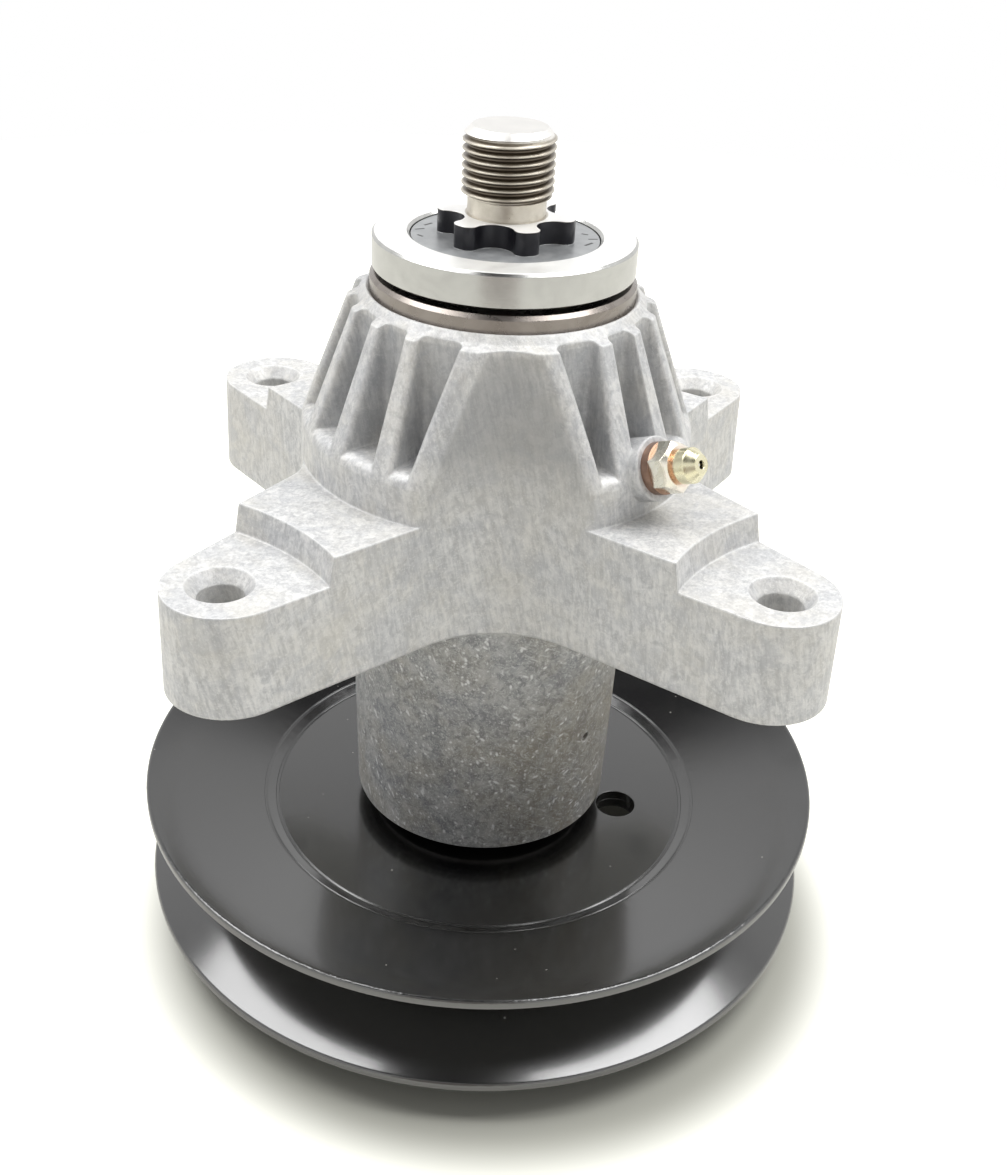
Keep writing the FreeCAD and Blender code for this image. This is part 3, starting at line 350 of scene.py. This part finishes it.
    def relief(self, height, strength, depth, round_edges=0.0):
        """Bump from a height, over edges rounded by a few tenths of a millimetre."""
        node = self.add("ShaderNodeBump")
        node.inputs["Strength"].default_value = strength
        node.inputs["Distance"].default_value = depth * MM
        self.feed(node.inputs["Height"], height)
        if round_edges:
            bevel = self.add("ShaderNodeBevel", samples=6)
            bevel.inputs["Radius"].default_value = round_edges * MM
            self.feed(node.inputs["Normal"], bevel.outputs[0])
        self.set(Normal=node.outputs[0])


def cast_aluminium():
    """Die-cast aluminium, tumbled grey: mottled and scuffed, with brushed webs, painted shade in the rib
    pockets and a darker barrel whose base tone is painted shade.
    """
    finish = Finish("cast_aluminium")
    across, _, height = finish.axes()
    clouds = finish.noise(12.0, detail=4.0, rough=0.6)
    drift = finish.noise(7.0, detail=4.0, rough=0.62, warp=0.6)
    mottle = finish.noise(2.0, detail=7.0, rough=0.72, warp=0.7)
    grain = finish.noise(0.45, detail=3.0, rough=0.6)
    strokes = finish.noise(0.75, detail=5.0, rough=0.70, place=finish.turned((0.0, 14.0, 0.0), 9.0))
    patches = finish.fade(mottle, 0.34, 0.66)
    flakes = finish.scuffs(1.5, 4.5, 0.24, 0.10)
    specks = finish.scuffs(0.62, 2.6, 0.30, 0.12)
    hairs = finish.hairs(0.42, 7.0, 0.60, 0.70)
    clumps = finish.fade(finish.noise(3.2, detail=4.0, rough=0.65, warp=0.4), 0.42, 0.60)

    pale = finish.blend(patches, (0.46, 0.465, 0.475), (0.69, 0.69, 0.685))
    patchy = finish.spread(drift, 0.25, 0.75)
    light_strokes = finish.times(finish.fade(strokes, 0.46, 0.66), patchy)
    dark_strokes = finish.times(finish.fade(strokes, 0.50, 0.34), patchy)
    brushed = finish.blend(light_strokes, pale, (0.80, 0.79, 0.77))
    drawn = finish.blend(finish.times(dark_strokes, 0.8), brushed, (0.37, 0.365, 0.36))
    warm = finish.blend(finish.spread(clouds, -0.2, 0.5), drawn, (0.64, 0.61, 0.535))
    cool = finish.blend(finish.times(finish.fade(drift, 0.50, 0.62), 0.40), warm, (0.46, 0.47, 0.49))
    marked = finish.blend(finish.times(specks, 0.25), cool, (0.84, 0.84, 0.82))
    # Painted shade: the pockets between the ribs are darkened to a cool grey.
    shaded = finish.blend(finish.times(finish.painted_pocket_shade(), 0.34), marked, (0.26, 0.27, 0.295))
    arms = finish.blend(finish.times(finish.on_tongue(), 0.40), shaded, (0.29, 0.285, 0.275))

    # Painted shade: the barrel below the arms gets a darker base tone than the arms, though it is the
    # same aluminium.
    barrel_painted_shade = finish.blend(patches, (0.23, 0.235, 0.24), (0.50, 0.50, 0.495))
    stained = finish.blend(finish.spread(clouds, -0.35, 0.5), barrel_painted_shade, (0.36, 0.315, 0.23))
    # The barrel turns darker and browner towards the bottom right.
    low = finish.fade(height, LOW_TAN_TOP * MM, LOW_TAN_FULL * MM)
    low_right = finish.times(low, finish.fade(across, LOW_TAN_LEFT * MM, LOW_TAN_RIGHT * MM))
    low_right_tan = finish.times(low_right, finish.spread(drift, 0.0, 0.75))
    tanned = finish.blend(low_right_tan, stained, (0.27, 0.225, 0.14))
    bruises = finish.times(finish.fade(drift, 0.52, 0.66), 0.32)
    bruised = finish.blend(bruises, tanned, (0.20, 0.21, 0.245))
    scratched = finish.blend(finish.times(hairs, 0.55), bruised, (0.70, 0.71, 0.70))
    grazes = finish.times(specks, finish.spread(clumps, 0.1, 0.4))
    grazed = finish.blend(grazes, scratched, (0.66, 0.66, 0.65))
    scrapes = finish.times(flakes, finish.spread(clumps, 0.2, 0.8))
    barrel = finish.blend(scrapes, grazed, (0.82, 0.83, 0.82))

    on_arms = finish.fade(height, (MOUNT_FACE - 1.5) * MM, (MOUNT_FACE - 0.2) * MM)
    colour = finish.blend(on_arms, barrel, arms)
    # Paler base colour on the casting's rounded edges.
    edge_paling = finish.blend(finish.times(finish.edges(0.7), 0.45), colour, (0.88, 0.88, 0.87))
    finish.set(Base_Color=edge_paling, Metallic=0.32, IOR=1.5)
    finish.set(Roughness=finish.spread(mottle, 0.38, 0.60))
    pits = finish.plus(finish.times(mottle, 0.9), finish.times(grain, 0.35))
    raised = finish.plus(pits, finish.times(strokes, 0.3))
    finish.relief(finish.plus(raised, finish.times(hairs, 0.15)), 0.8, 0.15, round_edges=0.7)
    return finish.material


def bright_turned_steel(name, colour, shade, rough_low, rough_high, line_depth=0.006, painted_light_above=None):
    """Turned steel with fine lines round the axis, and above a given height a paler, rougher face:
    painted light on the top.
    """
    finish = Finish(name)
    _, _, height = finish.axes()
    along = finish.plus(height, finish.radius())
    lines = finish.ring_lines(0.12, along)
    smears = finish.noise(5.0, detail=4.0, rough=0.6, warp=0.6)
    tone = finish.blend(finish.spread(smears, 0.0, 1.0), colour, shade)
    rough = finish.spread(smears, rough_low, rough_high)
    if painted_light_above:
        # Painted light: the top face above the given height is painted near white.
        face = finish.fade(height, (painted_light_above - 0.12) * MM, painted_light_above * MM)
        tone = finish.blend(face, tone, (0.94, 0.94, 0.92))
        rough = finish.plus(rough, finish.times(face, 0.32))
    finish.set(Base_Color=tone)
    finish.set(Metallic=1.0, Roughness=rough)
    finish.relief(lines, 0.5, line_depth, round_edges=0.15)
    return finish.material


def shaft_steel():
    """Machined shaft steel: painted shade in the thread roots, painted light on the star's top and the
    shaft's end, a black star and a grey disc with stake marks.
    """
    finish = Finish("shaft_steel")
    _, _, height = finish.axes()
    radius = finish.radius()
    lines = finish.ring_lines(0.15, finish.plus(height, radius))
    clouds = finish.noise(3.0, detail=5.0, rough=0.65)
    oiled = finish.blend(finish.spread(clouds, 0.0, 1.0), (0.46, 0.425, 0.36), (0.64, 0.60, 0.53))
    # Painted shade: the thread roots are darkened to dark brown.
    thread_root_shade = finish.fade(radius, (THREAD_RADIUS - 0.10) * MM, (THREAD_RADIUS - 0.48) * MM)
    threaded = finish.fade(height, (NECK_TOP + 0.3) * MM, (NECK_TOP + 0.6) * MM)
    deep = finish.times(thread_root_shade, threaded)
    below_top = finish.fade(height, (SHAFT_TOP - 1.2) * MM, (SHAFT_TOP - 1.8) * MM)
    deep = finish.times(deep, below_top)
    thread = finish.blend(finish.times(deep, 0.92), oiled, (0.115, 0.092, 0.070))
    star_low = finish.fade(height, (DISC_TOP + 0.02) * MM, (DISC_TOP + 0.1) * MM)
    star_high = finish.fade(height, (STAR_TOP - 0.02) * MM, (STAR_TOP - 0.14) * MM)
    star = finish.times(star_low, star_high)
    # Painted light: the star's top face past the neck and the shaft's end face are painted near white.
    from_star = finish.fade(height, (STAR_TOP - 0.1) * MM, STAR_TOP * MM)
    on_star = finish.times(from_star, finish.fade(height, (STAR_TOP + 0.3) * MM, (STAR_TOP + 0.1) * MM))
    past_neck = finish.fade(radius, (NECK_RADIUS + 0.2) * MM, (NECK_RADIUS + 0.5) * MM)
    star_top_light = finish.times(on_star, past_neck)
    pale = finish.blend(star_top_light, thread, (0.93, 0.925, 0.91))
    end_face_light = finish.fade(height, (SHAFT_TOP - 1.5) * MM, (SHAFT_TOP - 1.2) * MM)
    pale = finish.blend(finish.times(end_face_light, 0.8), pale, (0.95, 0.94, 0.92))
    blackened = finish.blend(star, pale, (0.012, 0.012, 0.016))
    disc = finish.fade(height, (DISC_TOP + 0.1) * MM, (DISC_TOP + 0.02) * MM)
    grey = finish.blend(finish.spread(clouds, 0.0, 1.0), (0.27, 0.28, 0.29), (0.45, 0.46, 0.465))
    colour = finish.blend(disc, blackened, grey)
    for stake_mark in STAKE_MARKS:
        nick = finish.times(finish.nick(*stake_mark), disc)
        colour = finish.blend(nick, colour, (0.02, 0.02, 0.02))
    dull = finish.larger(finish.times(star, 0.6), finish.times(disc, 0.5))
    dull = finish.larger(dull, finish.times(star_top_light, 0.5))
    finish.set(Base_Color=colour, Metallic=finish.minus(1.0, dull))
    finish.set(Roughness=finish.spread(clouds, 0.26, 0.44))
    finish.relief(lines, 0.4, 0.008, round_edges=0.12)
    return finish.material


def black_coat():
    """The pulley's black coat: glossy, a little orange peel, dust specks and a paler rim edge."""
    finish = Finish("black_coat")
    radius = finish.radius()
    peel = finish.noise(1.8, detail=2.0, rough=0.5)
    haze = finish.noise(22.0, detail=4.0, rough=0.6)
    specks = finish.fade(finish.cells(6.5), 0.040, 0.025)
    coat = finish.blend(finish.spread(haze, 0.0, 1.0), (0.002, 0.002, 0.003), (0.007, 0.007, 0.006))
    # Paler base colour on the rim's edge.
    edge_paling = finish.fade(radius, (RIM_RADIUS - 0.32) * MM, (RIM_RADIUS - 0.08) * MM)
    rim = finish.blend(finish.times(edge_paling, 0.4), coat, (0.10, 0.10, 0.095))
    finish.set(Base_Color=finish.blend(finish.times(specks, 0.5), rim, (0.45, 0.44, 0.40)))
    finish.set(Roughness=finish.spread(haze, 0.15, 0.23), IOR=1.88, Coat_Weight=0.5, Coat_Roughness=0.10)
    finish.relief(peel, 0.12, 0.03, round_edges=0.25)
    return finish.material


def zinc_passivated():
    """Yellow zinc plate: pale on the hexagon, partly a painted highlight, pink in the neck and olive
    gold on the head.
    """
    finish = Finish("yellow_zinc")
    reach = finish.along(FITTING_AXIS, FITTING_SEAT)
    sheen = finish.noise(2.6, detail=3.0, rough=0.6, warp=0.8)
    spots = finish.noise(1.1, detail=2.0)
    # Partly painted highlight: the hexagon is paler than the head's gold, though it is the same plate.
    pale = finish.blend(finish.spread(sheen, 0.0, 1.0), (0.88, 0.85, 0.70), (0.96, 0.95, 0.88))
    blush = finish.fade(reach, (FITTING_HEX_END - 1.8) * MM, FITTING_HEX_END * MM)
    tinted = finish.blend(finish.times(blush, finish.spread(sheen, 0.0, 0.6)), pale, (0.92, 0.78, 0.66))
    gold = finish.blend(finish.spread(sheen, 0.0, 1.0), (0.76, 0.71, 0.47), (0.88, 0.84, 0.62))
    head = finish.fade(reach, (FITTING_NECK_END - 0.05) * MM, (FITTING_NECK_END + 0.05) * MM)
    lit = finish.blend(head, tinted, gold)
    neck_in = finish.fade(reach, (FITTING_HEX_END - 0.02) * MM, (FITTING_HEX_END + 0.05) * MM)
    neck_out = finish.fade(reach, (FITTING_NECK_END + 0.05) * MM, (FITTING_NECK_END - 0.02) * MM)
    neck = finish.times(neck_in, neck_out)
    finish.set(Base_Color=finish.blend(neck, lit, (0.87, 0.65, 0.51)))
    finish.set(Metallic=1.0, Roughness=finish.spread(sheen, 0.20, 0.34))
    finish.relief(spots, 0.15, 0.02, round_edges=0.3)
    return finish.material


def plain_metal(name, colour, shade, rough_low, rough_high, size=2.5):
    """A metal with a cloudy tone and a fine grain."""
    finish = Finish(name)
    clouds = finish.noise(size, detail=4.0, rough=0.6)
    grain = finish.noise(0.3, detail=2.0)
    finish.set(Base_Color=finish.blend(finish.spread(clouds, 0.0, 1.0), colour, shade))
    finish.set(Metallic=1.0, Roughness=finish.spread(clouds, rough_low, rough_high))
    finish.relief(grain, 0.25, 0.02, round_edges=0.12)
    return finish.material


def seal_rubber():
    """Moulded black seal rubber with a dull bloom."""
    finish = Finish("seal_rubber")
    bloom = finish.noise(4.0, detail=4.0, rough=0.6)
    tone = finish.blend(finish.spread(bloom, 0.0, 1.0), (0.015, 0.015, 0.016), (0.04, 0.04, 0.038))
    finish.set(Base_Color=tone, Roughness=finish.spread(bloom, 0.5, 0.7))
    finish.relief(finish.ring_lines(0.4, finish.radius()), 0.3, 0.03)
    return finish.material


def give_finish(piece, material):
    """Puts one material in all of a piece's slots."""
    if not piece.data.materials:
        piece.data.materials.append(material)
    for number in range(len(piece.data.materials)):
        piece.data.materials[number] = material


def deselect_all():
    """Leaves edit mode and selects nothing."""
    if bpy.context.object and bpy.context.object.mode != "OBJECT":
        bpy.ops.object.mode_set(mode="OBJECT")
    bpy.ops.object.select_all(action="DESELECT")


def only(piece):
    """Makes one object the only selected and the active one."""
    deselect_all()
    piece.select_set(True)
    bpy.context.view_layer.objects.active = piece


def edit(piece):
    """Opens one object in edit mode with all of its mesh selected."""
    only(piece)
    bpy.ops.object.mode_set(mode="EDIT")
    bpy.ops.mesh.select_all(action="SELECT")


def close_mesh():
    """Points the faces of the mesh in edit mode outwards, and leaves edit mode."""
    bpy.ops.mesh.select_all(action="SELECT")
    bpy.ops.mesh.normals_make_consistent(inside=False)
    bpy.ops.object.mode_set(mode="OBJECT")


def thread_tool(name, low, turns):
    """The groove of a right-hand thread as a closed spiral bar, to be cut out of the shaft."""
    deselect_all()
    bpy.ops.mesh.primitive_plane_add(size=1.0, rotation=(math.pi / 2, 0, 0))
    tool = bpy.context.object
    tool.name = name
    bpy.ops.object.transform_apply(location=True, rotation=True, scale=True)
    inner = THREAD_RADIUS - THREAD_DEPTH
    outer = THREAD_RADIUS + THREAD_OVERRUN
    for vertex in tool.data.vertices:
        deep = vertex.co.x < 0
        half = ROOT_FLAT / 2 + (0.0 if deep else (outer - inner) * FLANK_SLOPE)
        reach = inner if deep else outer
        vertex.co = Vector((reach, 0.0, low + math.copysign(half, vertex.co.z))) * MM
    screw = tool.modifiers.new("turns", "SCREW")
    screw.axis = "Z"
    screw.angle = math.tau
    screw.screw_offset = PITCH * MM
    screw.iterations = turns
    screw.steps = screw.render_steps = TURN_STEPS
    screw.use_merge_vertices = False
    screw.use_smooth_shade = False
    only(tool)
    bpy.ops.object.modifier_apply(modifier="turns")
    edit(tool)
    bpy.ops.mesh.remove_doubles(threshold=MERGE_GAP * MM)
    bpy.ops.mesh.select_all(action="DESELECT")
    bpy.ops.mesh.select_non_manifold()
    bpy.ops.mesh.edge_face_add()
    close_mesh()
    return tool


def copy_of(node, name):
    """A loose copy of a carried-over solid, its triangles joined and its normals its own."""
    deselect_all()
    piece = node.copy()
    piece.data = node.data.copy()
    piece.parent = None
    piece.name = piece.data.name = name
    for key in list(piece.keys()):
        del piece[key]
    bpy.context.scene.collection.objects.link(piece)
    only(piece)
    bpy.ops.mesh.customdata_custom_splitnormals_clear()
    edit(piece)
    bpy.ops.mesh.remove_doubles(threshold=MERGE_GAP / 2 * MM)
    bpy.ops.object.mode_set(mode="OBJECT")
    return piece


def carve(piece, tool):
    """Cuts one closed shape out of a piece."""
    cut = piece.modifiers.new(tool.name, "BOOLEAN")
    cut.operation = "DIFFERENCE"
    cut.solver = "EXACT"
    cut.object = tool
    only(piece)
    bpy.ops.object.modifier_apply(modifier=cut.name)
    bpy.data.objects.remove(tool)


def in_place_of(piece, nodes, node_name, body, crisp):
    """Makes a finished piece stand for a carried-over solid; edges over crisp degrees stay sharp."""
    only(piece)
    bpy.ops.object.shade_smooth_by_angle(angle=math.radians(crisp))
    give_finish(piece, nodes[node_name].data.materials[0])
    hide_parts(node_name)
    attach(piece, body)


def ring_tool(name, profile):
    """A closed ring about the Z axis, its section given as (radius, height) pairs in millimetres."""
    deselect_all()
    bpy.ops.mesh.primitive_circle_add(vertices=len(profile), fill_type="NGON", radius=1.0)
    tool = bpy.context.object
    tool.name = name
    for vertex, (reach, level) in zip(tool.data.vertices, profile):
        vertex.co = Vector((reach, 0.0, level)) * MM
    spin = tool.modifiers.new("round", "SCREW")
    spin.axis = "Z"
    spin.angle = math.tau
    spin.steps = spin.render_steps = RING_STEPS
    spin.use_merge_vertices = True
    spin.merge_threshold = MERGE_GAP * MM
    only(tool)
    bpy.ops.object.modifier_apply(modifier="round")
    edit(tool)
    bpy.ops.mesh.remove_doubles(threshold=MERGE_GAP * MM)
    bpy.ops.mesh.select_all(action="DESELECT")
    bpy.ops.mesh.select_interior_faces()
    bpy.ops.mesh.delete(type="FACE")
    close_mesh()
    return tool


def chamfered_fitting(nodes):
    """The grease fitting with its hexagon's corners turned off on the outer face."""
    fitting = copy_of(nodes["grease_fitting_body"], "chamfered_fitting")
    inner, outer, drop = FITTING_CHAMFER
    over = FITTING_HEX_END + CHAMFER_OVERRUN
    ring = ring_tool("hexagon_chamfer", ((inner, over), (outer, over), (outer, FITTING_HEX_END - drop)))
    axis = Vector(FITTING_AXIS).normalized()
    side = Vector((axis.x, axis.y, 0.0)).normalized()
    foot = (side * FITTING_PLACE + Vector((0.0, 0.0, FITTING_LEVEL))) * MM
    ring.matrix_world = Matrix.Translation(foot) @ axis.to_track_quat("Z", "Y").to_matrix().to_4x4()
    only(ring)
    bpy.ops.object.transform_apply(location=True, rotation=True, scale=True)
    carve(fitting, ring)
    in_place_of(fitting, nodes, "grease_fitting_body", "housing", crisp=25)


def threaded_shaft(nodes):
    """The shaft with its thread turns cut at both ends, in place of the plain one."""
    shaft = copy_of(nodes["spindle_shaft"], "threaded_shaft")
    carve(shaft, thread_tool("blade_end_groove", *BLADE_END_GROOVE))
    carve(shaft, thread_tool("pulley_end_groove", *PULLEY_END_GROOVE))
    in_place_of(shaft, nodes, "spindle_shaft", "rotor", crisp=32)


def folded_sheet(nodes):
    """The pulley's upper sheet with the two fine lines that the press left where it folds up."""
    sheet = copy_of(nodes["pulley_upper_half"], "folded_upper_sheet")
    for number, (reach, level) in enumerate(FOLD_LINES):
        deselect_all()
        bpy.ops.mesh.primitive_torus_add(
            major_radius=reach * MM,
            minor_radius=FOLD_LINE_ROUND * MM,
            major_segments=FOLD_LINE_STEPS,
            minor_segments=16,
            location=(0, 0, (level + FOLD_LINE_LIFT) * MM),
        )
        ring = bpy.context.object
        ring.name = f"fold_line_{number}"
        bpy.ops.object.transform_apply(location=True, rotation=True, scale=True)
        carve(sheet, ring)
    in_place_of(sheet, nodes, "pulley_upper_half", "rotor", crisp=20)


def shortening_spring(nodes):
    """The check spring as a copy with a mesh of its own, in place of the carried-over one."""
    spring = copy_of(nodes["grease_fitting_spring"], "shortening_spring")
    in_place_of(spring, nodes, "grease_fitting_spring", "housing", crisp=40)
    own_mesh(spring)


def smooth_nodes(nodes):
    """Shades the carried-over solids smooth across their curved faces."""
    for node in nodes.values():
        only(node)
        bpy.ops.object.shade_smooth_by_angle(angle=math.radians(30))
    deselect_all()


def dress_nodes(nodes):
    """Gives each carried-over solid its finish."""
    race = bright_turned_steel("race_steel", (0.23, 0.205, 0.185), (0.32, 0.29, 0.265), 0.22, 0.34)
    turned = bright_turned_steel("turned_steel", (0.50, 0.49, 0.47), (0.62, 0.61, 0.59), 0.26, 0.40)
    # The slinger ring's top face is painted light.
    ring = bright_turned_steel(
        "polished_ring", (0.47, 0.47, 0.455), (0.58, 0.58, 0.56), 0.15, 0.25, painted_light_above=RING_TOP
    )
    ball = plain_metal("ball_steel", (0.80, 0.79, 0.77), (0.88, 0.87, 0.86), 0.05, 0.10)
    pressed = plain_metal("pressed_steel", (0.50, 0.49, 0.47), (0.62, 0.61, 0.59), 0.30, 0.45)
    zinc = plain_metal("bright_zinc", (0.60, 0.61, 0.62), (0.74, 0.75, 0.76), 0.24, 0.40, size=3.5)
    washer = plain_metal("brown_washer", (0.24, 0.15, 0.11), (0.40, 0.27, 0.21), 0.3, 0.5)
    coat = black_coat()
    rubber = seal_rubber()
    finishes = {
        "housing": cast_aluminium(),
        "grease_fitting_body": zinc_passivated(),
        "grease_fitting_washer": washer,
        "grease_fitting_spring": pressed,
        "grease_fitting_ball": ball,
        "spindle_shaft": shaft_steel(),
        "slinger_ring": ring,
        "bearing_spacer": turned,
        "dust_shield": pressed,
        "pulley_hub": turned,
        "pulley_upper_half": coat,
        "pulley_lower_half": coat,
        "flange_nut": zinc,
    }
    for bearing in BEARINGS:
        finishes[f"{bearing}_outer_ring"] = race
        finishes[f"{bearing}_inner_ring"] = race
        finishes[f"{bearing}_lower_seal"] = rubber
        finishes[f"{bearing}_upper_seal"] = rubber
        finishes[f"{bearing}_balls"] = ball
        finishes[f"{bearing}_cage"] = pressed
    for name, material in finishes.items():
        give_finish(nodes[name], material)


def any_of(tree, *names):
    """1 for a ray of any of the kinds named."""
    path = tree.nodes.new("ShaderNodeLightPath")
    total = path.outputs[names[0]]
    for name in names[1:]:
        node = tree.nodes.new("ShaderNodeMath")
        node.operation = "ADD"
        node.use_clamp = True
        tree.links.new(total, node.inputs[0])
        tree.links.new(path.outputs[name], node.inputs[1])
        total = node.outputs[0]
    return total


def ramp(tree, value, low, high, at_low, at_high):
    """A smooth step from one plain value to another."""
    node = tree.nodes.new("ShaderNodeMapRange")
    node.interpolation_type = "SMOOTHSTEP"
    tree.links.new(value, node.inputs["Value"])
    node.inputs["From Min"].default_value = low
    node.inputs["From Max"].default_value = high
    node.inputs["To Min"].default_value = at_low
    node.inputs["To Max"].default_value = at_high
    return node.outputs["Result"]


def product(tree, first, second):
    """Two values multiplied."""
    node = tree.nodes.new("ShaderNodeMath")
    node.operation = "MULTIPLY"
    tree.links.new(first, node.inputs[0])
    tree.links.new(second, node.inputs[1])
    return node.outputs[0]


def lay_floor():
    """A pale floor with the part's shadow and a painted shadow patch round its foot, otherwise as white
    as the background.
    """
    deselect_all()
    bpy.ops.mesh.primitive_circle_add(
        radius=FLOOR_REACH, vertices=128, fill_type="NGON", location=(0, 0, -FLOOR_DROP * MM)
    )
    floor = bpy.context.object
    floor.name = "floor"
    material = bpy.data.materials.new("pale_floor")
    material.use_nodes = True
    tree = material.node_tree
    tree.nodes.remove(tree.nodes["Principled BSDF"])
    matt = tree.nodes.new("ShaderNodeMixShader")
    tree.links.new(any_of(tree, "Is Camera Ray"), matt.inputs[0])
    for slot, colour in ((1, FLOOR_LIT), (2, FLOOR_SEEN)):
        paint = tree.nodes.new("ShaderNodeBsdfDiffuse")
        paint.inputs["Color"].default_value = colour
        tree.links.new(paint.outputs[0], matt.inputs[slot])
    place = tree.nodes.new("ShaderNodeTexCoord")
    length = tree.nodes.new("ShaderNodeVectorMath")
    length.operation = "DISTANCE"
    length.inputs[1].default_value = PAINTED_SHADOW_MIDDLE
    tree.links.new(place.outputs["Object"], length.inputs[0])
    # Painted shadow: no glow within a patch round the part's foot, set towards the front.
    far = ramp(tree, length.outputs["Value"], PAINTED_SHADOW_FULL, PAINTED_SHADOW_END, 0.0, FLOOR_GLOW)
    glow = tree.nodes.new("ShaderNodeEmission")
    glow.inputs["Color"].default_value = (1.0, 1.0, 0.95, 1.0)
    reflected = any_of(tree, "Is Glossy Ray", "Is Transmission Ray")
    mirrored = ramp(tree, reflected, 0.0, 1.0, 0.0, MIRRORED_GLOW)
    eye = tree.nodes.new("ShaderNodeMath")
    eye.operation = "MAXIMUM"
    tree.links.new(mirrored, eye.inputs[0])
    tree.links.new(any_of(tree, "Is Camera Ray"), eye.inputs[1])
    tree.links.new(product(tree, eye.outputs[0], far), glow.inputs["Strength"])
    both = tree.nodes.new("ShaderNodeAddShader")
    tree.links.new(matt.outputs[0], both.inputs[0])
    tree.links.new(glow.outputs[0], both.inputs[1])
    tree.links.new(both.outputs[0], tree.nodes["Material Output"].inputs["Surface"])
    floor.data.materials.append(material)


def light_world():
    """A white surround under a dim ceiling: it lights the part softly and looks white behind it."""
    world = bpy.data.worlds.new("surround")
    bpy.context.scene.world = world
    world.use_nodes = True
    tree = world.node_tree
    sky = tree.nodes["Background"]
    sky.inputs["Color"].default_value = (1.0, 1.0, 1.0, 1.0)
    place = tree.nodes.new("ShaderNodeTexCoord")
    parts = tree.nodes.new("ShaderNodeSeparateXYZ")
    tree.links.new(place.outputs["Generated"], parts.inputs[0])
    seen = ramp(tree, parts.outputs["Z"], CEILING_START, CEILING_FULL, 1.0, CEILING_LEVEL)
    mirrored = any_of(tree, "Is Glossy Ray", "Is Transmission Ray")
    lighting = ramp(tree, mirrored, 0.0, 1.0, FILL_LEVEL, 0.0)
    shown = product(tree, mirrored, seen)
    both = tree.nodes.new("ShaderNodeMath")
    both.operation = "ADD"
    tree.links.new(lighting, both.inputs[0])
    tree.links.new(shown, both.inputs[1])
    to_eye = tree.nodes.new("ShaderNodeMath")
    to_eye.operation = "MAXIMUM"
    tree.links.new(both.outputs[0], to_eye.inputs[0])
    tree.links.new(any_of(tree, "Is Camera Ray"), to_eye.inputs[1])
    tree.links.new(to_eye.outputs[0], sky.inputs["Strength"])


def stand_card():
    """A dull card behind the camera, which only polished metal shows, as it would the person there."""
    deselect_all()
    bpy.ops.mesh.primitive_plane_add(size=1.0, location=CARD_PLACE, rotation=(math.pi / 2, 0, 0))
    card = bpy.context.object
    card.name = "dull_card"
    card.scale = CARD_SIZE
    material = bpy.data.materials.new("dull_card")
    material.use_nodes = True
    tree = material.node_tree
    tree.nodes.remove(tree.nodes["Principled BSDF"])
    glow = tree.nodes.new("ShaderNodeEmission")
    glow.inputs["Color"].default_value = CARD_COLOUR
    glow.inputs["Strength"].default_value = CARD_GLOW
    tree.links.new(glow.outputs[0], tree.nodes["Material Output"].inputs["Surface"])
    card.data.materials.append(material)
    card.visible_camera = False
    card.visible_diffuse = False
    card.visible_shadow = False


def hang_lamp(name, place, watts):
    """A soft box pointed at the part."""
    lamp = bpy.data.lights.new(name, "AREA")
    lamp.shape = "SQUARE"
    lamp.size = LAMP_WIDTH
    lamp.energy = watts
    holder = bpy.data.objects.new(name, lamp)
    bpy.context.scene.collection.objects.link(holder)
    holder.location = place
    holder.rotation_euler = (Vector(LAMP_AIM) - Vector(place)).to_track_quat("-Z", "Y").to_euler()


def set_camera():
    """The camera where the photograph was taken from."""
    camera = bpy.data.cameras.new("photo_camera")
    camera.lens = CAMERA_LENS
    camera.sensor_width = SENSOR
    camera.clip_start = 0.01
    camera.clip_end = 50.0
    holder = bpy.data.objects.new("photo_camera", camera)
    bpy.context.scene.collection.objects.link(holder)
    down = math.radians(CAMERA_DOWN)
    lean = math.radians(CAMERA_LEAN)
    level = Vector((*CAMERA_LEVEL, 0.0)).normalized()
    look = level * math.cos(down) - Vector((0, 0, math.sin(down)))
    right = look.cross(Vector((0, 0, 1))).normalized()
    up = right.cross(look)
    side = right * math.cos(lean) + up * math.sin(lean)
    top = up * math.cos(lean) - right * math.sin(lean)
    turn = Matrix((side, top, -look)).transposed().to_4x4()
    holder.matrix_world = Matrix.Translation(Vector(CAMERA_PLACE) * MM) @ turn
    bpy.context.scene.camera = holder


def light_and_view():
    """The floor, the surround, the lamps and the camera."""
    lay_floor()
    light_world()
    stand_card()
    for name, place, watts in LAMPS:
        hang_lamp(name, place, watts)
    set_camera()
    bpy.context.scene.view_settings.view_transform = "Standard"


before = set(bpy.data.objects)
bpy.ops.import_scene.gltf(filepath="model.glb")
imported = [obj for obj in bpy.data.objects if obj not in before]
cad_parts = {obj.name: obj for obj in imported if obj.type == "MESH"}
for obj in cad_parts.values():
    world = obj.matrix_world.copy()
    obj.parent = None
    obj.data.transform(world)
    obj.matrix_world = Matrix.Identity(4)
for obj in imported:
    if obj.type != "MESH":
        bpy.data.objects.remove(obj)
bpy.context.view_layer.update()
smooth_nodes(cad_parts)
dress_nodes(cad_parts)
threaded_shaft(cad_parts)
chamfered_fitting(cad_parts)
folded_sheet(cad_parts)
shortening_spring(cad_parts)
light_and_view()
